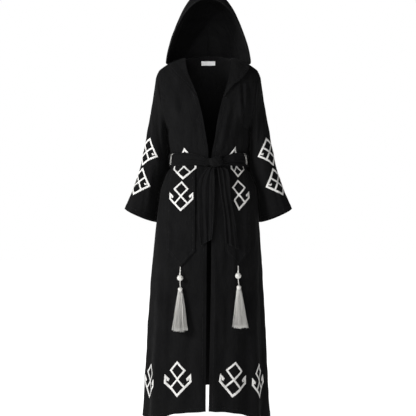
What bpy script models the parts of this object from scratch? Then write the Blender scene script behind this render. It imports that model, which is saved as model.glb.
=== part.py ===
"""Long hooded kaftan in black muslin, filled out as if worn, with its sash, pockets and tassels.

Metres, +Z up. The front faces -Y and the wearer's left is +X. The origin is where the shoulders hold it:
the middle of the line between the two shoulder seams.

Each piece of cloth is a wall: a grid of points on its outer side, and the same grid moved in by the
cloth's thickness. The garment's body is a stack of rounded sections. A point on it is named by its height
and by its turn round the body: 0 degrees at the front, 90 at the wearer's left side, 180 at the back.
"""
import math

import bmesh
import bpy
import numpy as np

CLOTH = 0.0015
SEAM = 0.0005
SEAM_TURN = math.degrees(SEAM / 0.16)
LABEL_CLOTH = 0.0006
POCKET_CLOTH = 0.0013
BELT_CLOTH = 0.0020
POCKET_CLEAR = 0.0012
POCKET_LIFT = 0.0024
BELT_CLEAR = 0.0042
LAPEL_CLEAR = 0.0008
HOOD_SEAM_HALF = 0.0004

# grid sizes, chosen so that the whole garment stays light
FRONT_ACROSS = 15
BACK_ACROSS = 27
SLEEVE_RINGS = 12
HOOD_STATIONS = 12
HOOD_BASE_ROWS = 4
HOOD_ARCH_ROWS = 10
LAPEL_ACROSS = 6
BELT_ROWS = 3
BELT_STEP = 6.0
TAIL_ACROSS = 9
TAIL_ROWS = 10
KNOT_ROWS = 8
KNOT_SIDES = 16
LOOP_POINTS = 11
LABEL_ACROSS = 5

ARMPIT = -0.262
HEM = -1.330
HEM_DROP_START = -0.900
ROUNDNESS = 2.3
SHOULDER_ROLL = 2.6
ARMHOLE_DEPTH = 0.76
ARMHOLE_FLOOR = 0.45
NECK_HALF = 0.090
NECK_HEIGHT = 0.028
SHOULDER_RUN = 0.108
SHOULDER_FALL = 0.050
BACK_NECK_RISE = 0.047
BACK_NECK_SCOOP = 0.080
FOLD_FADE = 8.0

# height, half width on the wearer's right and left, depth in front and behind
BODY_COLUMNS = ("height", "right", "left", "front", "back")
BODY = np.array([
    (0.000, 0.198, 0.198, 0.112, 0.112),
    (-0.070, 0.191, 0.191, 0.114, 0.114),
    (-0.140, 0.183, 0.183, 0.118, 0.116),
    (-0.200, 0.174, 0.174, 0.120, 0.116),
    (-0.262, 0.164, 0.166, 0.114, 0.113),
    (-0.320, 0.157, 0.160, 0.106, 0.104),
    (-0.342, 0.151, 0.154, 0.101, 0.100),
    (-0.408, 0.150, 0.153, 0.101, 0.101),
    (-0.436, 0.167, 0.169, 0.117, 0.118),
    (-0.500, 0.190, 0.194, 0.130, 0.138),
    (-0.632, 0.207, 0.203, 0.141, 0.152),
    (-0.800, 0.224, 0.214, 0.150, 0.160),
    (-1.000, 0.237, 0.225, 0.160, 0.168),
    (-1.150, 0.246, 0.232, 0.168, 0.174),
    (-1.330, 0.257, 0.243, 0.181, 0.181),
])

# height, x of the right and the left front edge: a V down to the belt, then a narrow gap to the hem
EDGE_COLUMNS = ("height", "right", "left")
FRONT_EDGE = np.array([
    (0.000, -0.090, 0.090),
    (-0.028, -0.087, 0.089),
    (-0.058, -0.080, 0.085),
    (-0.115, -0.056, 0.069),
    (-0.160, -0.038, 0.054),
    (-0.233, -0.019, 0.035),
    (-0.306, -0.006, 0.024),
    (-0.354, 0.001, 0.014),
    (-0.408, -0.001, 0.011),
    (-0.690, -0.005, 0.011),
    (-1.330, -0.012, 0.006),
])

# turn from the front, how much lower the hem hangs there
HEM_DROP = np.array([
    (0.0, 0.000),
    (25.0, 0.014),
    (45.0, 0.042),
    (70.0, 0.056),
    (90.0, 0.056),
    (130.0, 0.030),
    (180.0, -0.010),
])

# the largest folds: turn at the top and at the low end, heights of both, half width in degrees, push,
# and 1 where the fold is still full at its low end
FOLD_COLUMNS = ("turn_top", "turn_low", "top", "low", "width", "push", "open_end")
FOLDS = np.array([
    (-8.0, -7.0, -0.45, -1.33, 6.0, 0.006, 1.0),
    (-22.0, -20.0, -0.50, -1.33, 6.5, 0.004, 1.0),
    (-36.0, -34.0, -0.45, -1.33, 7.0, -0.008, 1.0),
    (-50.0, -49.0, -0.43, -1.33, 9.0, 0.009, 1.0),
    (-66.0, -67.0, -0.60, -1.33, 8.0, -0.006, 1.0),
    (-80.0, -81.0, -0.55, -1.33, 8.0, 0.005, 1.0),
    (9.0, 4.0, -0.45, -1.33, 5.0, 0.005, 1.0),
    (17.0, 13.0, -0.50, -1.33, 6.0, -0.006, 1.0),
    (27.0, 23.0, -0.45, -1.33, 7.0, 0.006, 1.0),
    (38.0, 34.0, -0.43, -1.33, 7.0, -0.008, 1.0),
    (52.0, 50.0, -0.45, -1.33, 9.0, 0.009, 1.0),
    (68.0, 67.0, -0.60, -1.33, 8.0, -0.007, 1.0),
    (80.0, 81.0, -0.55, -1.33, 8.0, 0.005, 1.0),
    (-152.0, -150.0, -0.46, -1.33, 8.0, 0.009, 1.0),
    (-169.0, -166.0, -0.50, -1.33, 8.0, -0.008, 1.0),
    (-128.0, -130.0, -0.48, -1.33, 9.0, -0.007, 1.0),
    (-110.0, -112.0, -0.55, -1.33, 8.0, 0.007, 1.0),
    (179.0, 176.0, -0.45, -1.33, 7.0, 0.007, 1.0),
    (158.0, 160.0, -0.52, -1.33, 8.0, -0.007, 1.0),
    (140.0, 143.0, -0.46, -1.33, 8.0, 0.010, 1.0),
    (124.0, 126.0, -0.56, -1.33, 8.0, -0.007, 1.0),
    (108.0, 109.0, -0.50, -1.33, 8.0, 0.007, 1.0),
    (-33.0, -21.0, -0.10, -0.34, 6.0, 0.004, 0.0),
    (-28.0, -40.0, -0.16, -0.34, 6.0, 0.003, 0.0),
    (28.0, 34.0, -0.05, -0.34, 5.5, 0.005, 0.0),
    (37.0, 47.0, -0.08, -0.34, 5.5, -0.004, 0.0),
    (16.0, 22.0, -0.16, -0.34, 5.5, 0.004, 0.0),
    (165.0, 170.0, -0.10, -0.34, 8.0, 0.005, 0.0),
    (-160.0, -164.0, -0.12, -0.34, 8.0, 0.005, 0.0),
    (142.0, 138.0, -0.14, -0.34, 7.0, -0.004, 0.0),
    (-140.0, -136.0, -0.12, -0.34, 7.0, -0.004, 0.0),
])

# sleeve: share of its length, outer and inner line in the front view, how far the inner line tucks
# behind the body's side, half depth
SLEEVE_COLUMNS = ("share", "outer_x", "outer_z", "inner_x", "inner_z", "tuck", "depth")
SLEEVE = np.array([
    (0.00, 0.199, -0.022, 0.167, -0.262, 0.000, 0.088),
    (0.08, 0.208, -0.048, 0.163, -0.279, 0.020, 0.083),
    (0.18, 0.215, -0.095, 0.158, -0.300, 0.040, 0.076),
    (0.30, 0.226, -0.165, 0.153, -0.335, 0.050, 0.067),
    (0.43, 0.240, -0.240, 0.149, -0.375, 0.056, 0.061),
    (0.56, 0.253, -0.315, 0.152, -0.415, 0.058, 0.058),
    (0.69, 0.267, -0.385, 0.172, -0.462, 0.056, 0.057),
    (0.80, 0.285, -0.450, 0.186, -0.515, 0.052, 0.058),
    (0.91, 0.309, -0.512, 0.197, -0.573, 0.048, 0.062),
    (1.00, 0.334, -0.571, 0.203, -0.622, 0.046, 0.067),
])
TUCK_POWER = 4
SLEEVE_CLEAR = 0.006
SLEEVE_CLEAR_RUN = 0.050
SLEEVE_BELT_ROOM = 0.010
BELT_ROOM_RUN = 0.042
BLEND_RADIUS = 0.003
SLEEVE_BLUNT = 0.9
SLEEVE_SPACING = 1.1
CUFF_BACK_HANG = 0.014
ARMHOLE_SEAM = 0.0016

# hood: station from its front rim to the back of the head, place on the neck seam, where it is widest,
# and its height and depth at the centre seam
HOOD_COLUMNS = (
    "station", "neck_x", "neck_y", "neck_z", "wide_x", "wide_y", "wide_z", "crown_y", "crown_z", "bow",
)
HOOD = np.array([
    (0.00, 0.0905, -0.0430, 0.0216, 0.165, -0.050, -0.006, -0.062, 0.248, -0.022),
    (0.25, 0.0905, -0.0040, 0.0302, 0.167, -0.022, 0.002, 0.012, 0.300, -0.008),
    (0.50, 0.0800, 0.0340, 0.0346, 0.153, 0.030, 0.012, 0.095, 0.282, 0.006),
    (0.75, 0.0450, 0.0540, 0.0451, 0.098, 0.078, 0.034, 0.146, 0.228, 0.010),
    (1.00, HOOD_SEAM_HALF, 0.0605, 0.0491, HOOD_SEAM_HALF, 0.100, 0.050, 0.160, 0.200, 0.012),
])
HOOD_MIDDLE = np.array([0.0, 0.02, 0.12])
HOOD_SIDE_POWER = 1.06
HOOD_RISE_POWER = 1.60
HOOD_BASE_DOME = 0.006

# lapel: height, x of its outer edge on the wearer's right and left, lift of that edge off the front
LAPEL_COLUMNS = ("height", "right", "left", "lift")
LAPEL = np.array([
    (-0.020, -0.158, 0.161, 0.0060),
    (-0.034, -0.153, 0.157, 0.0060),
    (-0.058, -0.138, 0.145, 0.0060),
    (-0.090, -0.108, 0.122, 0.0065),
    (-0.112, -0.082, 0.094, 0.0055),
    (-0.135, -0.061, 0.074, 0.0040),
    (-0.152, -0.046, 0.062, 0.0030),
])
LAPEL_CURL = 1.5

BELT_TOP = -0.3530
BELT_BOTTOM = -0.4045

# pocket panel: name, x of its two sides at the belt and lower down, and its point
POCKETS = (
    {"name": "right", "top": (-0.138, -0.049), "low": (-0.158, -0.050), "tip_z": -0.792},
    {"name": "left", "top": (0.056, 0.139), "low": (0.064, 0.160), "tip_z": -0.788},
)
POCKET_TOP = -0.372
POCKET_LAST_ROW = -0.650
POCKET_CORNER = -0.732
POCKET_WIDEN = 0.130
POCKET_SHARES = (0.0, 0.18, 0.34, 0.5, 0.66, 0.82, 1.0)

# belt tail: height, x of its sides at that height, distance off the body, wave across it
TAIL_COLUMNS = ("height", "side_a", "side_b", "off", "wave")
TAIL_RIGHT = np.array([
    (-0.4164, 0.006, 0.026, 0.0130, 0.0010),
    (-0.4340, -0.018, 0.022, 0.0120, 0.0025),
    (-0.4680, -0.037, 0.024, 0.0095, 0.0030),
    (-0.5030, -0.043, 0.024, 0.0085, 0.0030),
    (-0.6130, -0.039, 0.021, 0.0080, 0.0030),
    (-0.7000, -0.032, 0.014, 0.0080, 0.0030),
])
TAIL_LEFT = np.array([
    (-0.4164, 0.031, 0.054, 0.0130, 0.0010),
    (-0.4340, 0.034, 0.075, 0.0125, 0.0025),
    (-0.5370, 0.047, 0.087, 0.0095, 0.0030),
    (-0.6130, 0.056, 0.100, 0.0085, 0.0030),
    (-0.7150, 0.060, 0.115, 0.0080, 0.0025),
])
TAIL_SLANT_RIGHT = 0.024
TAIL_SLANT_LEFT = -0.030
TAIL_WAVES = 2

KNOT_CENTRE = (0.0295, -0.1205, -0.3905)
KNOT_HALF = (0.0255, 0.0135, 0.0190)
KNOT_BLUNT = 0.8
KNOT_SWELL = 0.06
KNOT_WRAPS = 3

LOOP_TURNS = (60.0, 72.0)
LOOP_RADIUS = 0.0007
LOOP_OFF = 0.0105
LOOP_FOOT = 0.0020
LOOP_ENDS = (-0.3440, -0.4120)
LOOP_BLUNT = 0.35
LOOP_SIDES = 4

LABEL_HALF = 0.0285
LABEL_CLEAR = 0.0010
LABEL_TOP_Z = 0.0333
LABEL_BOTTOM_Z = 0.0142

# tassel: bead centre height, height of the head's ring, top and bottom of the skirt, sideways lean
TASSELS = (
    {"name": "right", "pocket": 0, "bead_z": -0.8323, "head_z": -0.8680, "end_z": -1.0337, "lean": -0.001},
    {"name": "left", "pocket": 1, "bead_z": -0.8254, "head_z": -0.8610, "end_z": -1.0223, "lean": 0.006},
)
BEAD_RADIUS = 0.0110
BEAD_OFF = 0.0135
BEAD_ASIDE = 0.0010
BEAD_ROWS = 8
BEAD_POLE = 0.06
BEAD_SIDES = 12
CORD_TOP_RADIUS = 0.0015
CORD_RADIUS = 0.0030
CORD_POINTS = 5
CORD_SIDES = 6
CORD_BEND = 0.0040
CORD_TOP_GAP = 0.0008
BEAD_TOP_GAP = 0.0006
BEAD_LOW_GAP = 0.0004
THIN_CORD_RADIUS = 0.0014
THIN_CORD_POINTS = 3
THIN_CORD_SIDES = 5
HEAD_GAP = 0.0012
HEAD_OFF = 0.0150
HEAD_LEAN = 0.3
HEAD_CAP = 0.0005
SKIRT_OFF = 0.0350
SKIRT_HALF_WIDTH = 0.0300
SKIRT_HALF_DEPTH = 0.0170
LOCKS_AROUND = 12
LOCK_RINGS = 3
LOCK_SIDES = 4
LOCK_FILL = 0.80
LOCK_CORE = 0.0012
LOCK_STAGGER = 0.0035

# the tassel's bound head: radius, distance below its top
HEAD_PROFILE = ((0.0030, 0.0), (0.0080, 0.003), (0.0085, 0.008), (0.0070, 0.013), (0.0090, 0.018))

MUSLIN = {"name": "black muslin", "colour": (0.012, 0.012, 0.013, 1.0), "roughness": 0.90}
SILK = {"name": "pale silky thread", "colour": (0.62, 0.60, 0.57, 1.0), "roughness": 0.45}
LABEL_TAPE = {"name": "white tape", "colour": (0.85, 0.85, 0.85, 1.0), "roughness": 0.70}


def clear_scene():
    for obj in list(bpy.data.objects):
        bpy.data.objects.remove(obj, do_unlink=True)


def finish_material(finish):
    """One Principled material for each finish, made once."""
    material = bpy.data.materials.get(finish["name"])
    if material is None:
        material = bpy.data.materials.new(finish["name"])
        material.use_nodes = True
        shader = material.node_tree.nodes["Principled BSDF"]
        shader.inputs["Base Color"].default_value = finish["colour"]
        shader.inputs["Roughness"].default_value = finish["roughness"]
        shader.inputs["Metallic"].default_value = 0.0
        material.diffuse_color = finish["colour"]
    return material


def smooth(xs, ys, x):
    """A curve through the points (xs, ys) that never overshoots them: cubic pieces, each slope the
    harmonic mean of the slopes beside it, or zero at a turning point."""
    order = np.argsort(xs)
    xs = np.asarray(xs, float)[order]
    ys = np.asarray(ys, float)[order]
    secant = np.diff(ys) / np.diff(xs)
    slope = np.zeros_like(ys)
    before, after = secant[:-1], secant[1:]
    same = before * after > 0
    slope[1:-1][same] = 2 * before[same] * after[same] / (before[same] + after[same])
    slope[0], slope[-1] = secant[0], secant[-1]
    x = np.clip(x, xs[0], xs[-1])
    i = np.clip(np.searchsorted(xs, x) - 1, 0, len(xs) - 2)
    width = xs[i + 1] - xs[i]
    q = (x - xs[i]) / width
    return (
        ys[i] * (1 + 2 * q) * (1 - q) ** 2 + ys[i + 1] * q * q * (3 - 2 * q)
        + width * (slope[i] * q * (1 - q) ** 2 - slope[i + 1] * q * q * (1 - q))
    )


def column(table, columns, name, key, at):
    """The table's column of that name, read as a smooth curve over its key column."""
    return smooth(table[:, columns.index(key)], table[:, columns.index(name)], at)


def ease(q):
    """0 to 1 with level ends."""
    q = np.clip(q, 0.0, 1.0)
    return q * q * (3 - 2 * q)


def by_side(turn, right, left):
    return np.where(turn < 0, right, left)


def rise_share(height):
    """0 at the armpit and below it, 1 at the shoulder seam."""
    return np.clip(1 - height / ARMPIT, 0.0, 1.0)


def armhole_share(height):
    """How far the armhole opens to front and back, as a share of the body's depth there."""
    share = np.clip(rise_share(height) / ARMHOLE_FLOOR, 0.0, 1.0)
    return ARMHOLE_DEPTH * np.sqrt(1 - (1 - share) ** 2)


def side_turn(height):
    """Turn where the front or back panel ends: the side seam, and above it the armhole."""
    return np.degrees(np.arccos(armhole_share(height) ** (ROUNDNESS / 2)))


def half_width(height, turn):
    """Half width of the section. Above the armpit the section is wider than the cloth, and the armhole
    cuts it where the cloth is as wide as the table says."""
    right = column(BODY, BODY_COLUMNS, "right", "height", height)
    left = column(BODY, BODY_COLUMNS, "left", "height", height)
    cut = (1 - armhole_share(height) ** ROUNDNESS) ** (1 / ROUNDNESS)
    return by_side(turn, right, left) / cut


def turn_at(x, height):
    """Turn of the front's point that lies at x."""
    x = np.asarray(x, float)
    share = np.clip(np.abs(x) / half_width(height, x), 0.0, 1.0)
    return np.sign(x) * np.degrees(np.arcsin(share ** (ROUNDNESS / 2)))


def seam_height(x, back):
    """Height of the shoulder seam, and of the back neck between the two shoulders."""
    run = np.clip((np.abs(x) - NECK_HALF) / SHOULDER_RUN, 0.0, 1.0)
    dome = np.clip(1 - (x / NECK_HALF) ** 2, 0.0, 1.0)
    return NECK_HEIGHT - SHOULDER_FALL * run ** 1.8 + np.where(back, BACK_NECK_RISE * dome, 0.0)


def fold_push(height, turn):
    """Sum of the folds: each a ridge or trough across the turn, growing along its own line."""
    push = np.zeros_like(height)
    for row in FOLDS:
        fold = dict(zip(FOLD_COLUMNS, row))
        along = (fold["top"] - height) / (fold["top"] - fold["low"])
        inside = np.clip(along, 0.0, 1.0)
        strength = ease(inside) if fold["open_end"] else np.sin(math.pi * inside) ** 2
        centre = fold["turn_top"] + (fold["turn_low"] - fold["turn_top"]) * inside
        off = (turn - centre + 180.0) % 360.0 - 180.0
        push += fold["push"] * strength * np.exp(-(off / fold["width"]) ** 2)
    edge = np.clip((side_turn(height) - np.abs(turn)) / FOLD_FADE, 0.0, 1.0)
    back_edge = np.clip((np.abs(turn) - 180.0 + side_turn(height)) / FOLD_FADE, 0.0, 1.0)
    return push * np.where(rise_share(height) > 0, ease(np.maximum(edge, back_edge)), 1.0)


def body_point(height, turn):
    """Point on the body at that height and turn.

    x = half width * sin(turn)^p and y = -depth * cos(turn)^p, with p = 2 / roundness. Above the armpit
    the depth shrinks to nothing at the shoulder seam, as a quarter of a rounded square.
    """
    height, turn = np.broadcast_arrays(np.asarray(height, float), np.asarray(turn, float))
    radians = np.radians(turn)
    power = 2 / ROUNDNESS
    back = np.abs(turn) > 90.0
    rise = rise_share(height)
    roll = (1 - rise ** SHOULDER_ROLL) ** (1 / SHOULDER_ROLL)
    front_depth = column(BODY, BODY_COLUMNS, "front", "height", height)
    back_depth = column(BODY, BODY_COLUMNS, "back", "height", height)
    depth = np.where(back, back_depth, front_depth) * roll + SEAM * rise
    sine, cosine = np.sin(radians), np.cos(radians)
    push = fold_push(height, turn)
    x = (half_width(height, turn) + push) * np.sign(sine) * np.abs(sine) ** power
    y = -(depth + push) * np.sign(cosine) * np.abs(cosine) ** power
    low = np.clip((HEM_DROP_START - height) / (HEM_DROP_START - HEM), 0.0, 1.0) ** 1.5
    drop = smooth(HEM_DROP[:, 0], HEM_DROP[:, 1], np.abs(turn)) * low
    z = height + seam_height(x, back) * rise - drop
    return np.stack([x, y, z], axis=-1)


def grid_normals(points, around=False):
    """Unit normals of a grid: the cross product of its two directions."""
    down = np.gradient(points, axis=0)
    if around:
        across = np.roll(points, -1, axis=1) - np.roll(points, 1, axis=1)
    else:
        across = np.gradient(points, axis=1)
    normal = np.cross(across, down)
    return normal / np.linalg.norm(normal, axis=-1, keepdims=True)


def outward(points, around=False, centre=None):
    """Normals of a grid that point away from its centre, or from the Z axis where none is given."""
    normal = grid_normals(points, around)
    if centre is None:
        centre = points * np.array([0.0, 0.0, 1.0])
    facing = np.sum(normal * (points - centre))
    return normal if facing > 0 else -normal


def add_body(name, points, triangles, finish):
    """One closed body from points and triangles, with its faces turned outwards."""
    mesh = bpy.data.meshes.new(name)
    mesh.from_pydata([tuple(p) for p in points], [], [tuple(t) for t in triangles])
    shape = bmesh.new()
    shape.from_mesh(mesh)
    bmesh.ops.recalc_face_normals(shape, faces=shape.faces)
    shape.to_mesh(mesh)
    shape.free()
    mesh.shade_smooth()
    mesh.set_sharp_from_angle(angle=math.radians(50))
    mesh.materials.append(finish_material(finish))
    obj = bpy.data.objects.new(name, mesh)
    bpy.context.scene.collection.objects.link(obj)
    return obj


def quads(index):
    """Two triangles for each cell of a grid of point numbers."""
    a, b, c, d = index[:-1, :-1], index[:-1, 1:], index[1:, 1:], index[1:, :-1]
    first = np.stack([a, b, c], axis=-1).reshape(-1, 3)
    second = np.stack([a, c, d], axis=-1).reshape(-1, 3)
    return np.concatenate([first, second])


def add_wall(name, outer, inner, finish, around=False):
    """A closed wall between two grids of the same size, joined round its open edges. Both sides are
    split along the same diagonals, so that a twisted cell keeps its thickness."""
    rows, columns = outer.shape[:2]
    near = np.arange(rows * columns).reshape(rows, columns)
    if around:
        near = np.concatenate([near, near[:, :1]], axis=1)
    far = near + rows * columns
    parts = [quads(near), quads(far)[:, ::-1]]
    borders = [(near[0], far[0]), (near[-1], far[-1])]
    if not around:
        borders += [(near[:, 0], far[:, 0]), (near[:, -1], far[:, -1])]
    for one, other in borders:
        parts.append(quads(np.stack([one, other])))
    points = np.concatenate([outer.reshape(-1, 3), inner.reshape(-1, 3)])
    return add_body(name, points, np.concatenate(parts), finish)


def add_tube(name, path, radii, sides, finish):
    """A round body along a path, with pointed or flat capped ends."""
    path = np.asarray(path, float)
    along = np.gradient(path, axis=0)
    along /= np.linalg.norm(along, axis=1, keepdims=True)
    side = np.cross(along, np.array([0.0, 1.0, 0.0]))
    weak = np.linalg.norm(side, axis=1, keepdims=True) < 0.1
    side = np.where(weak, np.cross(along, np.array([1.0, 0.0, 0.0])), side)
    side /= np.linalg.norm(side, axis=1, keepdims=True)
    front = np.cross(side, along)
    angle = np.arange(sides) * 2 * math.pi / sides
    ring = (
        side[:, None] * np.cos(angle)[None, :, None]
        + front[:, None] * np.sin(angle)[None, :, None]
    )
    points = path[:, None] + ring * np.asarray(radii, float)[:, None, None]
    count = len(path) * sides
    index = np.arange(count).reshape(len(path), sides)
    index = np.concatenate([index, index[:, :1]], axis=1)
    parts = [quads(index)]
    for row, tip in ((0, count), (len(path) - 1, count + 1)):
        edge = index[row]
        fan = np.stack([edge[:-1], edge[1:], np.full(sides, tip)], axis=-1)
        parts.append(fan if row else fan[:, ::-1])
    points = np.concatenate([points.reshape(-1, 3), path[:1], path[-1:]])
    return add_body(name, points, np.concatenate(parts), finish)


UPPER_RISE = np.array([1.0, 0.98, 0.93, 0.85, 0.75, 0.64, 0.52, 0.40, 0.28, 0.18, 0.10, 0.04, 0.0])
LOWER_HEIGHTS = np.array([
    -0.300, -0.326, -0.342, -0.375, -0.408, -0.420, -0.436, -0.466, -0.510, -0.570, -0.650,
    -0.740, -0.840, -0.940, -1.030, -1.120, -1.200, -1.270, -1.330,
])
UPPER_HEIGHTS = ARMPIT * (1 - UPPER_RISE)
BODY_HEIGHTS = np.concatenate([UPPER_HEIGHTS, LOWER_HEIGHTS])

# the back is cut in two, with its seam under the sash
WAIST_SEAM = -0.375


def front_edge(height, side):
    return column(FRONT_EDGE, EDGE_COLUMNS, "right" if side < 0 else "left", "height", height)


def front_grid(side, columns):
    """One front: from its front edge to the side seam or the armhole, shoulder to hem."""
    height = BODY_HEIGHTS[:, None]
    near = turn_at(front_edge(BODY_HEIGHTS, side), BODY_HEIGHTS)[:, None]
    far = side * (side_turn(height) - SEAM_TURN)
    share = np.linspace(0.0, 1.0, columns)[None, :]
    return body_point(height, near + (far - near) * share)


def back_grid(columns):
    """The back, from side to side. Its top edge dips between the shoulders, for the neck."""
    share = np.linspace(-1.0, 1.0, columns)[None, :]
    rise = rise_share(BODY_HEIGHTS)[:, None]
    reach = side_turn(BODY_HEIGHTS)[:, None] - SEAM_TURN
    top = body_point(BODY_HEIGHTS[:1, None], 180.0 + reach[:1] * share)[..., 0]
    dome = np.clip(1 - (top / NECK_HALF) ** 2, 0.0, 1.0)
    rise = rise * (1 - BACK_NECK_SCOOP * dome)
    height = np.where(rise > 0, ARMPIT * (1 - rise), BODY_HEIGHTS[:, None])
    reach = side_turn(height) - SEAM_TURN
    turn = 180.0 + reach * share
    turn = (turn + 180.0) % 360.0 - 180.0
    return body_point(height, turn)


def make_body():
    for name, side in (("front_right", -1), ("front_left", 1)):
        outer = front_grid(side, FRONT_ACROSS)
        add_wall(name, outer, outer - outward(outer) * CLOTH, MUSLIN)
    outer = back_grid(BACK_ACROSS)
    inner = outer - outward(outer) * CLOTH
    seam = int(np.argmin(np.abs(BODY_HEIGHTS - WAIST_SEAM)))
    add_wall("back_upper", outer[:seam + 1], inner[:seam + 1], MUSLIN)
    lower = np.stack([outer[seam:], inner[seam:]])
    lower[:, 0, :, 2] -= SEAM
    add_wall("back_skirt", lower[0], lower[1], MUSLIN)


def armhole_ring(side):
    """The armhole's edge as the front and back panels have it: down the front, up the back."""
    reach = side_turn(UPPER_HEIGHTS) - SEAM_TURN
    front = body_point(UPPER_HEIGHTS, side * reach)
    back = body_point(UPPER_HEIGHTS, side * (180.0 - reach))
    front[0, 1] = back[0, 1] = 0.0
    front[-1, 1] = back[-1, 1] = 0.0
    return np.concatenate([front, back[1:-1][::-1]])


def farther(one, other, radius):
    """The larger of two distances, with the corner between them rounded off."""
    return (one + other + np.sqrt((one - other) ** 2 + 4 * radius ** 2)) / 2


def beside_body(side, y, z):
    """Least x at which a sleeve clears the body's side below the armpit, at that depth and height."""
    width = column(BODY, BODY_COLUMNS, "right" if side < 0 else "left", "height", z)
    front = column(BODY, BODY_COLUMNS, "front", "height", z)
    back = column(BODY, BODY_COLUMNS, "back", "height", z)
    depth = np.where(y < 0, front, back)
    reach = (1 - np.clip(np.abs(y) / depth, 0.0, 1.0) ** ROUNDNESS) ** (1 / ROUNDNESS)
    below = np.clip((ARMPIT - z) / SLEEVE_CLEAR_RUN, 0.0, 1.0)
    belt = ((z - (BELT_TOP + BELT_BOTTOM) / 2) / BELT_ROOM_RUN) ** 4
    room = SLEEVE_CLEAR * below + SLEEVE_BELT_ROOM * np.exp(-belt)
    return np.where(z < ARMPIT, width * reach + room, 0.0)


def sleeve_grid(side, rings):
    """Sleeve rings. Each lies between its outer and its inner line and bulges to front and back:
    point = middle + (outer - middle) * cos(a) + depth * sin(a) forward. The inner line tucks behind the
    body's side, and no point comes nearer to the body than beside_body says."""
    share = np.linspace(0.0, 1.0, rings) ** SLEEVE_SPACING
    cosine = 2 * UPPER_RISE - 1
    angle = np.arccos(cosine)
    angle = np.concatenate([angle, 2 * math.pi - angle[1:-1][::-1]])[None, :]
    read = {name: column(SLEEVE, SLEEVE_COLUMNS, name, "share", share)[:, None] for name in SLEEVE_COLUMNS}
    mid_x = (read["outer_x"] + read["inner_x"]) / 2
    mid_z = (read["outer_z"] + read["inner_z"]) / 2
    forward = np.sign(np.sin(angle)) * np.abs(np.sin(angle)) ** SLEEVE_BLUNT
    x = mid_x + (read["outer_x"] - mid_x) * np.cos(angle)
    z = mid_z + (read["outer_z"] - mid_z) * np.cos(angle)
    y = -read["depth"] * forward + read["tuck"] * ((1 - np.cos(angle)) / 2) ** TUCK_POWER
    x = farther(x, beside_body(side, y, z), BLEND_RADIUS)
    z = z - CUFF_BACK_HANG * np.clip(-forward, 0.0, 1.0) * read["share"] ** 2
    points = np.stack([side * x, y, z], axis=-1)
    points[0] = armhole_ring(side) + np.array([side * ARMHOLE_SEAM, 0.0, 0.0])
    return points


def make_sleeves():
    for name, side in (("sleeve_right", -1), ("sleeve_left", 1)):
        outer = sleeve_grid(side, SLEEVE_RINGS)
        middle = outer.mean(axis=1, keepdims=True)
        normal = outward(outer, around=True, centre=middle)
        add_wall(name, outer, outer - normal * CLOTH, MUSLIN, around=True)


def hood_grid(side, stations):
    """One half of the hood. From the neck seam each line runs out over the shoulder, then up an arch
    to the centre seam: x = wide * cos(a)^p, z = low + (crown - low) * sin(a)^q."""
    station = np.linspace(0.0, 1.0, stations)
    read = {name: column(HOOD, HOOD_COLUMNS, name, "station", station)[:, None] for name in HOOD_COLUMNS}
    base = np.linspace(0.0, 1.0, HOOD_BASE_ROWS, endpoint=False)[None, :]
    base_x = read["neck_x"] + (read["wide_x"] - read["neck_x"]) * base
    base_y = read["neck_y"] + (read["wide_y"] - read["neck_y"]) * base
    base_z = read["neck_z"] + (read["wide_z"] - read["neck_z"]) * base
    base_z = base_z + HOOD_BASE_DOME * 4 * base * (1 - base)
    angle = np.linspace(0.0, math.pi / 2, HOOD_ARCH_ROWS)[None, :]
    sine, cosine = np.sin(angle), np.clip(np.cos(angle), 0.0, 1.0)
    arch_x = read["wide_x"] * cosine ** HOOD_SIDE_POWER
    arch_y = read["wide_y"] + (read["crown_y"] - read["wide_y"]) * sine + read["bow"] * np.sin(2 * angle)
    arch_z = read["wide_z"] + (read["crown_z"] - read["wide_z"]) * sine ** HOOD_RISE_POWER
    x = np.concatenate([base_x, arch_x], axis=1)
    y = np.concatenate([base_y, arch_y], axis=1)
    z = np.concatenate([base_z, arch_z], axis=1)
    return np.stack([side * np.maximum(x, HOOD_SEAM_HALF), y, z], axis=-1)


def make_hood():
    for name, side in (("hood_right", -1), ("hood_left", 1)):
        outer = hood_grid(side, HOOD_STATIONS)
        normal = outward(outer, centre=HOOD_MIDDLE)
        inner = outer - normal * CLOTH
        inner[..., 0] = side * np.maximum(side * inner[..., 0], HOOD_SEAM_HALF)
        add_wall(name, outer, inner, MUSLIN)


def lapel_grid(side, columns):
    """A lapel: the front's points from its V edge outwards, and how far the lapel lies off each."""
    inside = (UPPER_HEIGHTS < LAPEL[0, 0]) & (UPPER_HEIGHTS > LAPEL[-1, 0])
    height = np.concatenate([LAPEL[:1, 0], UPPER_HEIGHTS[inside], LAPEL[-1:, 0]])
    outer_x = column(LAPEL, LAPEL_COLUMNS, "right" if side < 0 else "left", "height", height)
    lift = column(LAPEL, LAPEL_COLUMNS, "lift", "height", height)[:, None]
    near = front_edge(height, side)[:, None]
    share = np.linspace(0.0, 1.0, columns)[None, :]
    x = near + (outer_x[:, None] - near) * share
    height = height[:, None] + 0.0 * share
    base = body_point(height, turn_at(x, height))
    off = LAPEL_CLEAR + lift * share ** LAPEL_CURL
    return base, off


def make_lapels():
    for name, side in (("lapel_right", -1), ("lapel_left", 1)):
        base, off = lapel_grid(side, LAPEL_ACROSS)
        normal = outward(base)
        inner = base + normal * off[..., None]
        add_wall(name, inner + normal * CLOTH, inner, MUSLIN)


def make_belt_band():
    height = np.linspace(BELT_TOP, BELT_BOTTOM, BELT_ROWS)[:, None]
    turn = np.arange(-180.0, 180.0, BELT_STEP)[None, :]
    base = body_point(height, turn)
    normal = outward(base, around=True)
    inner = base + normal * BELT_CLEAR
    add_wall("belt_band", inner + normal * BELT_CLOTH, inner, MUSLIN, around=True)


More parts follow.
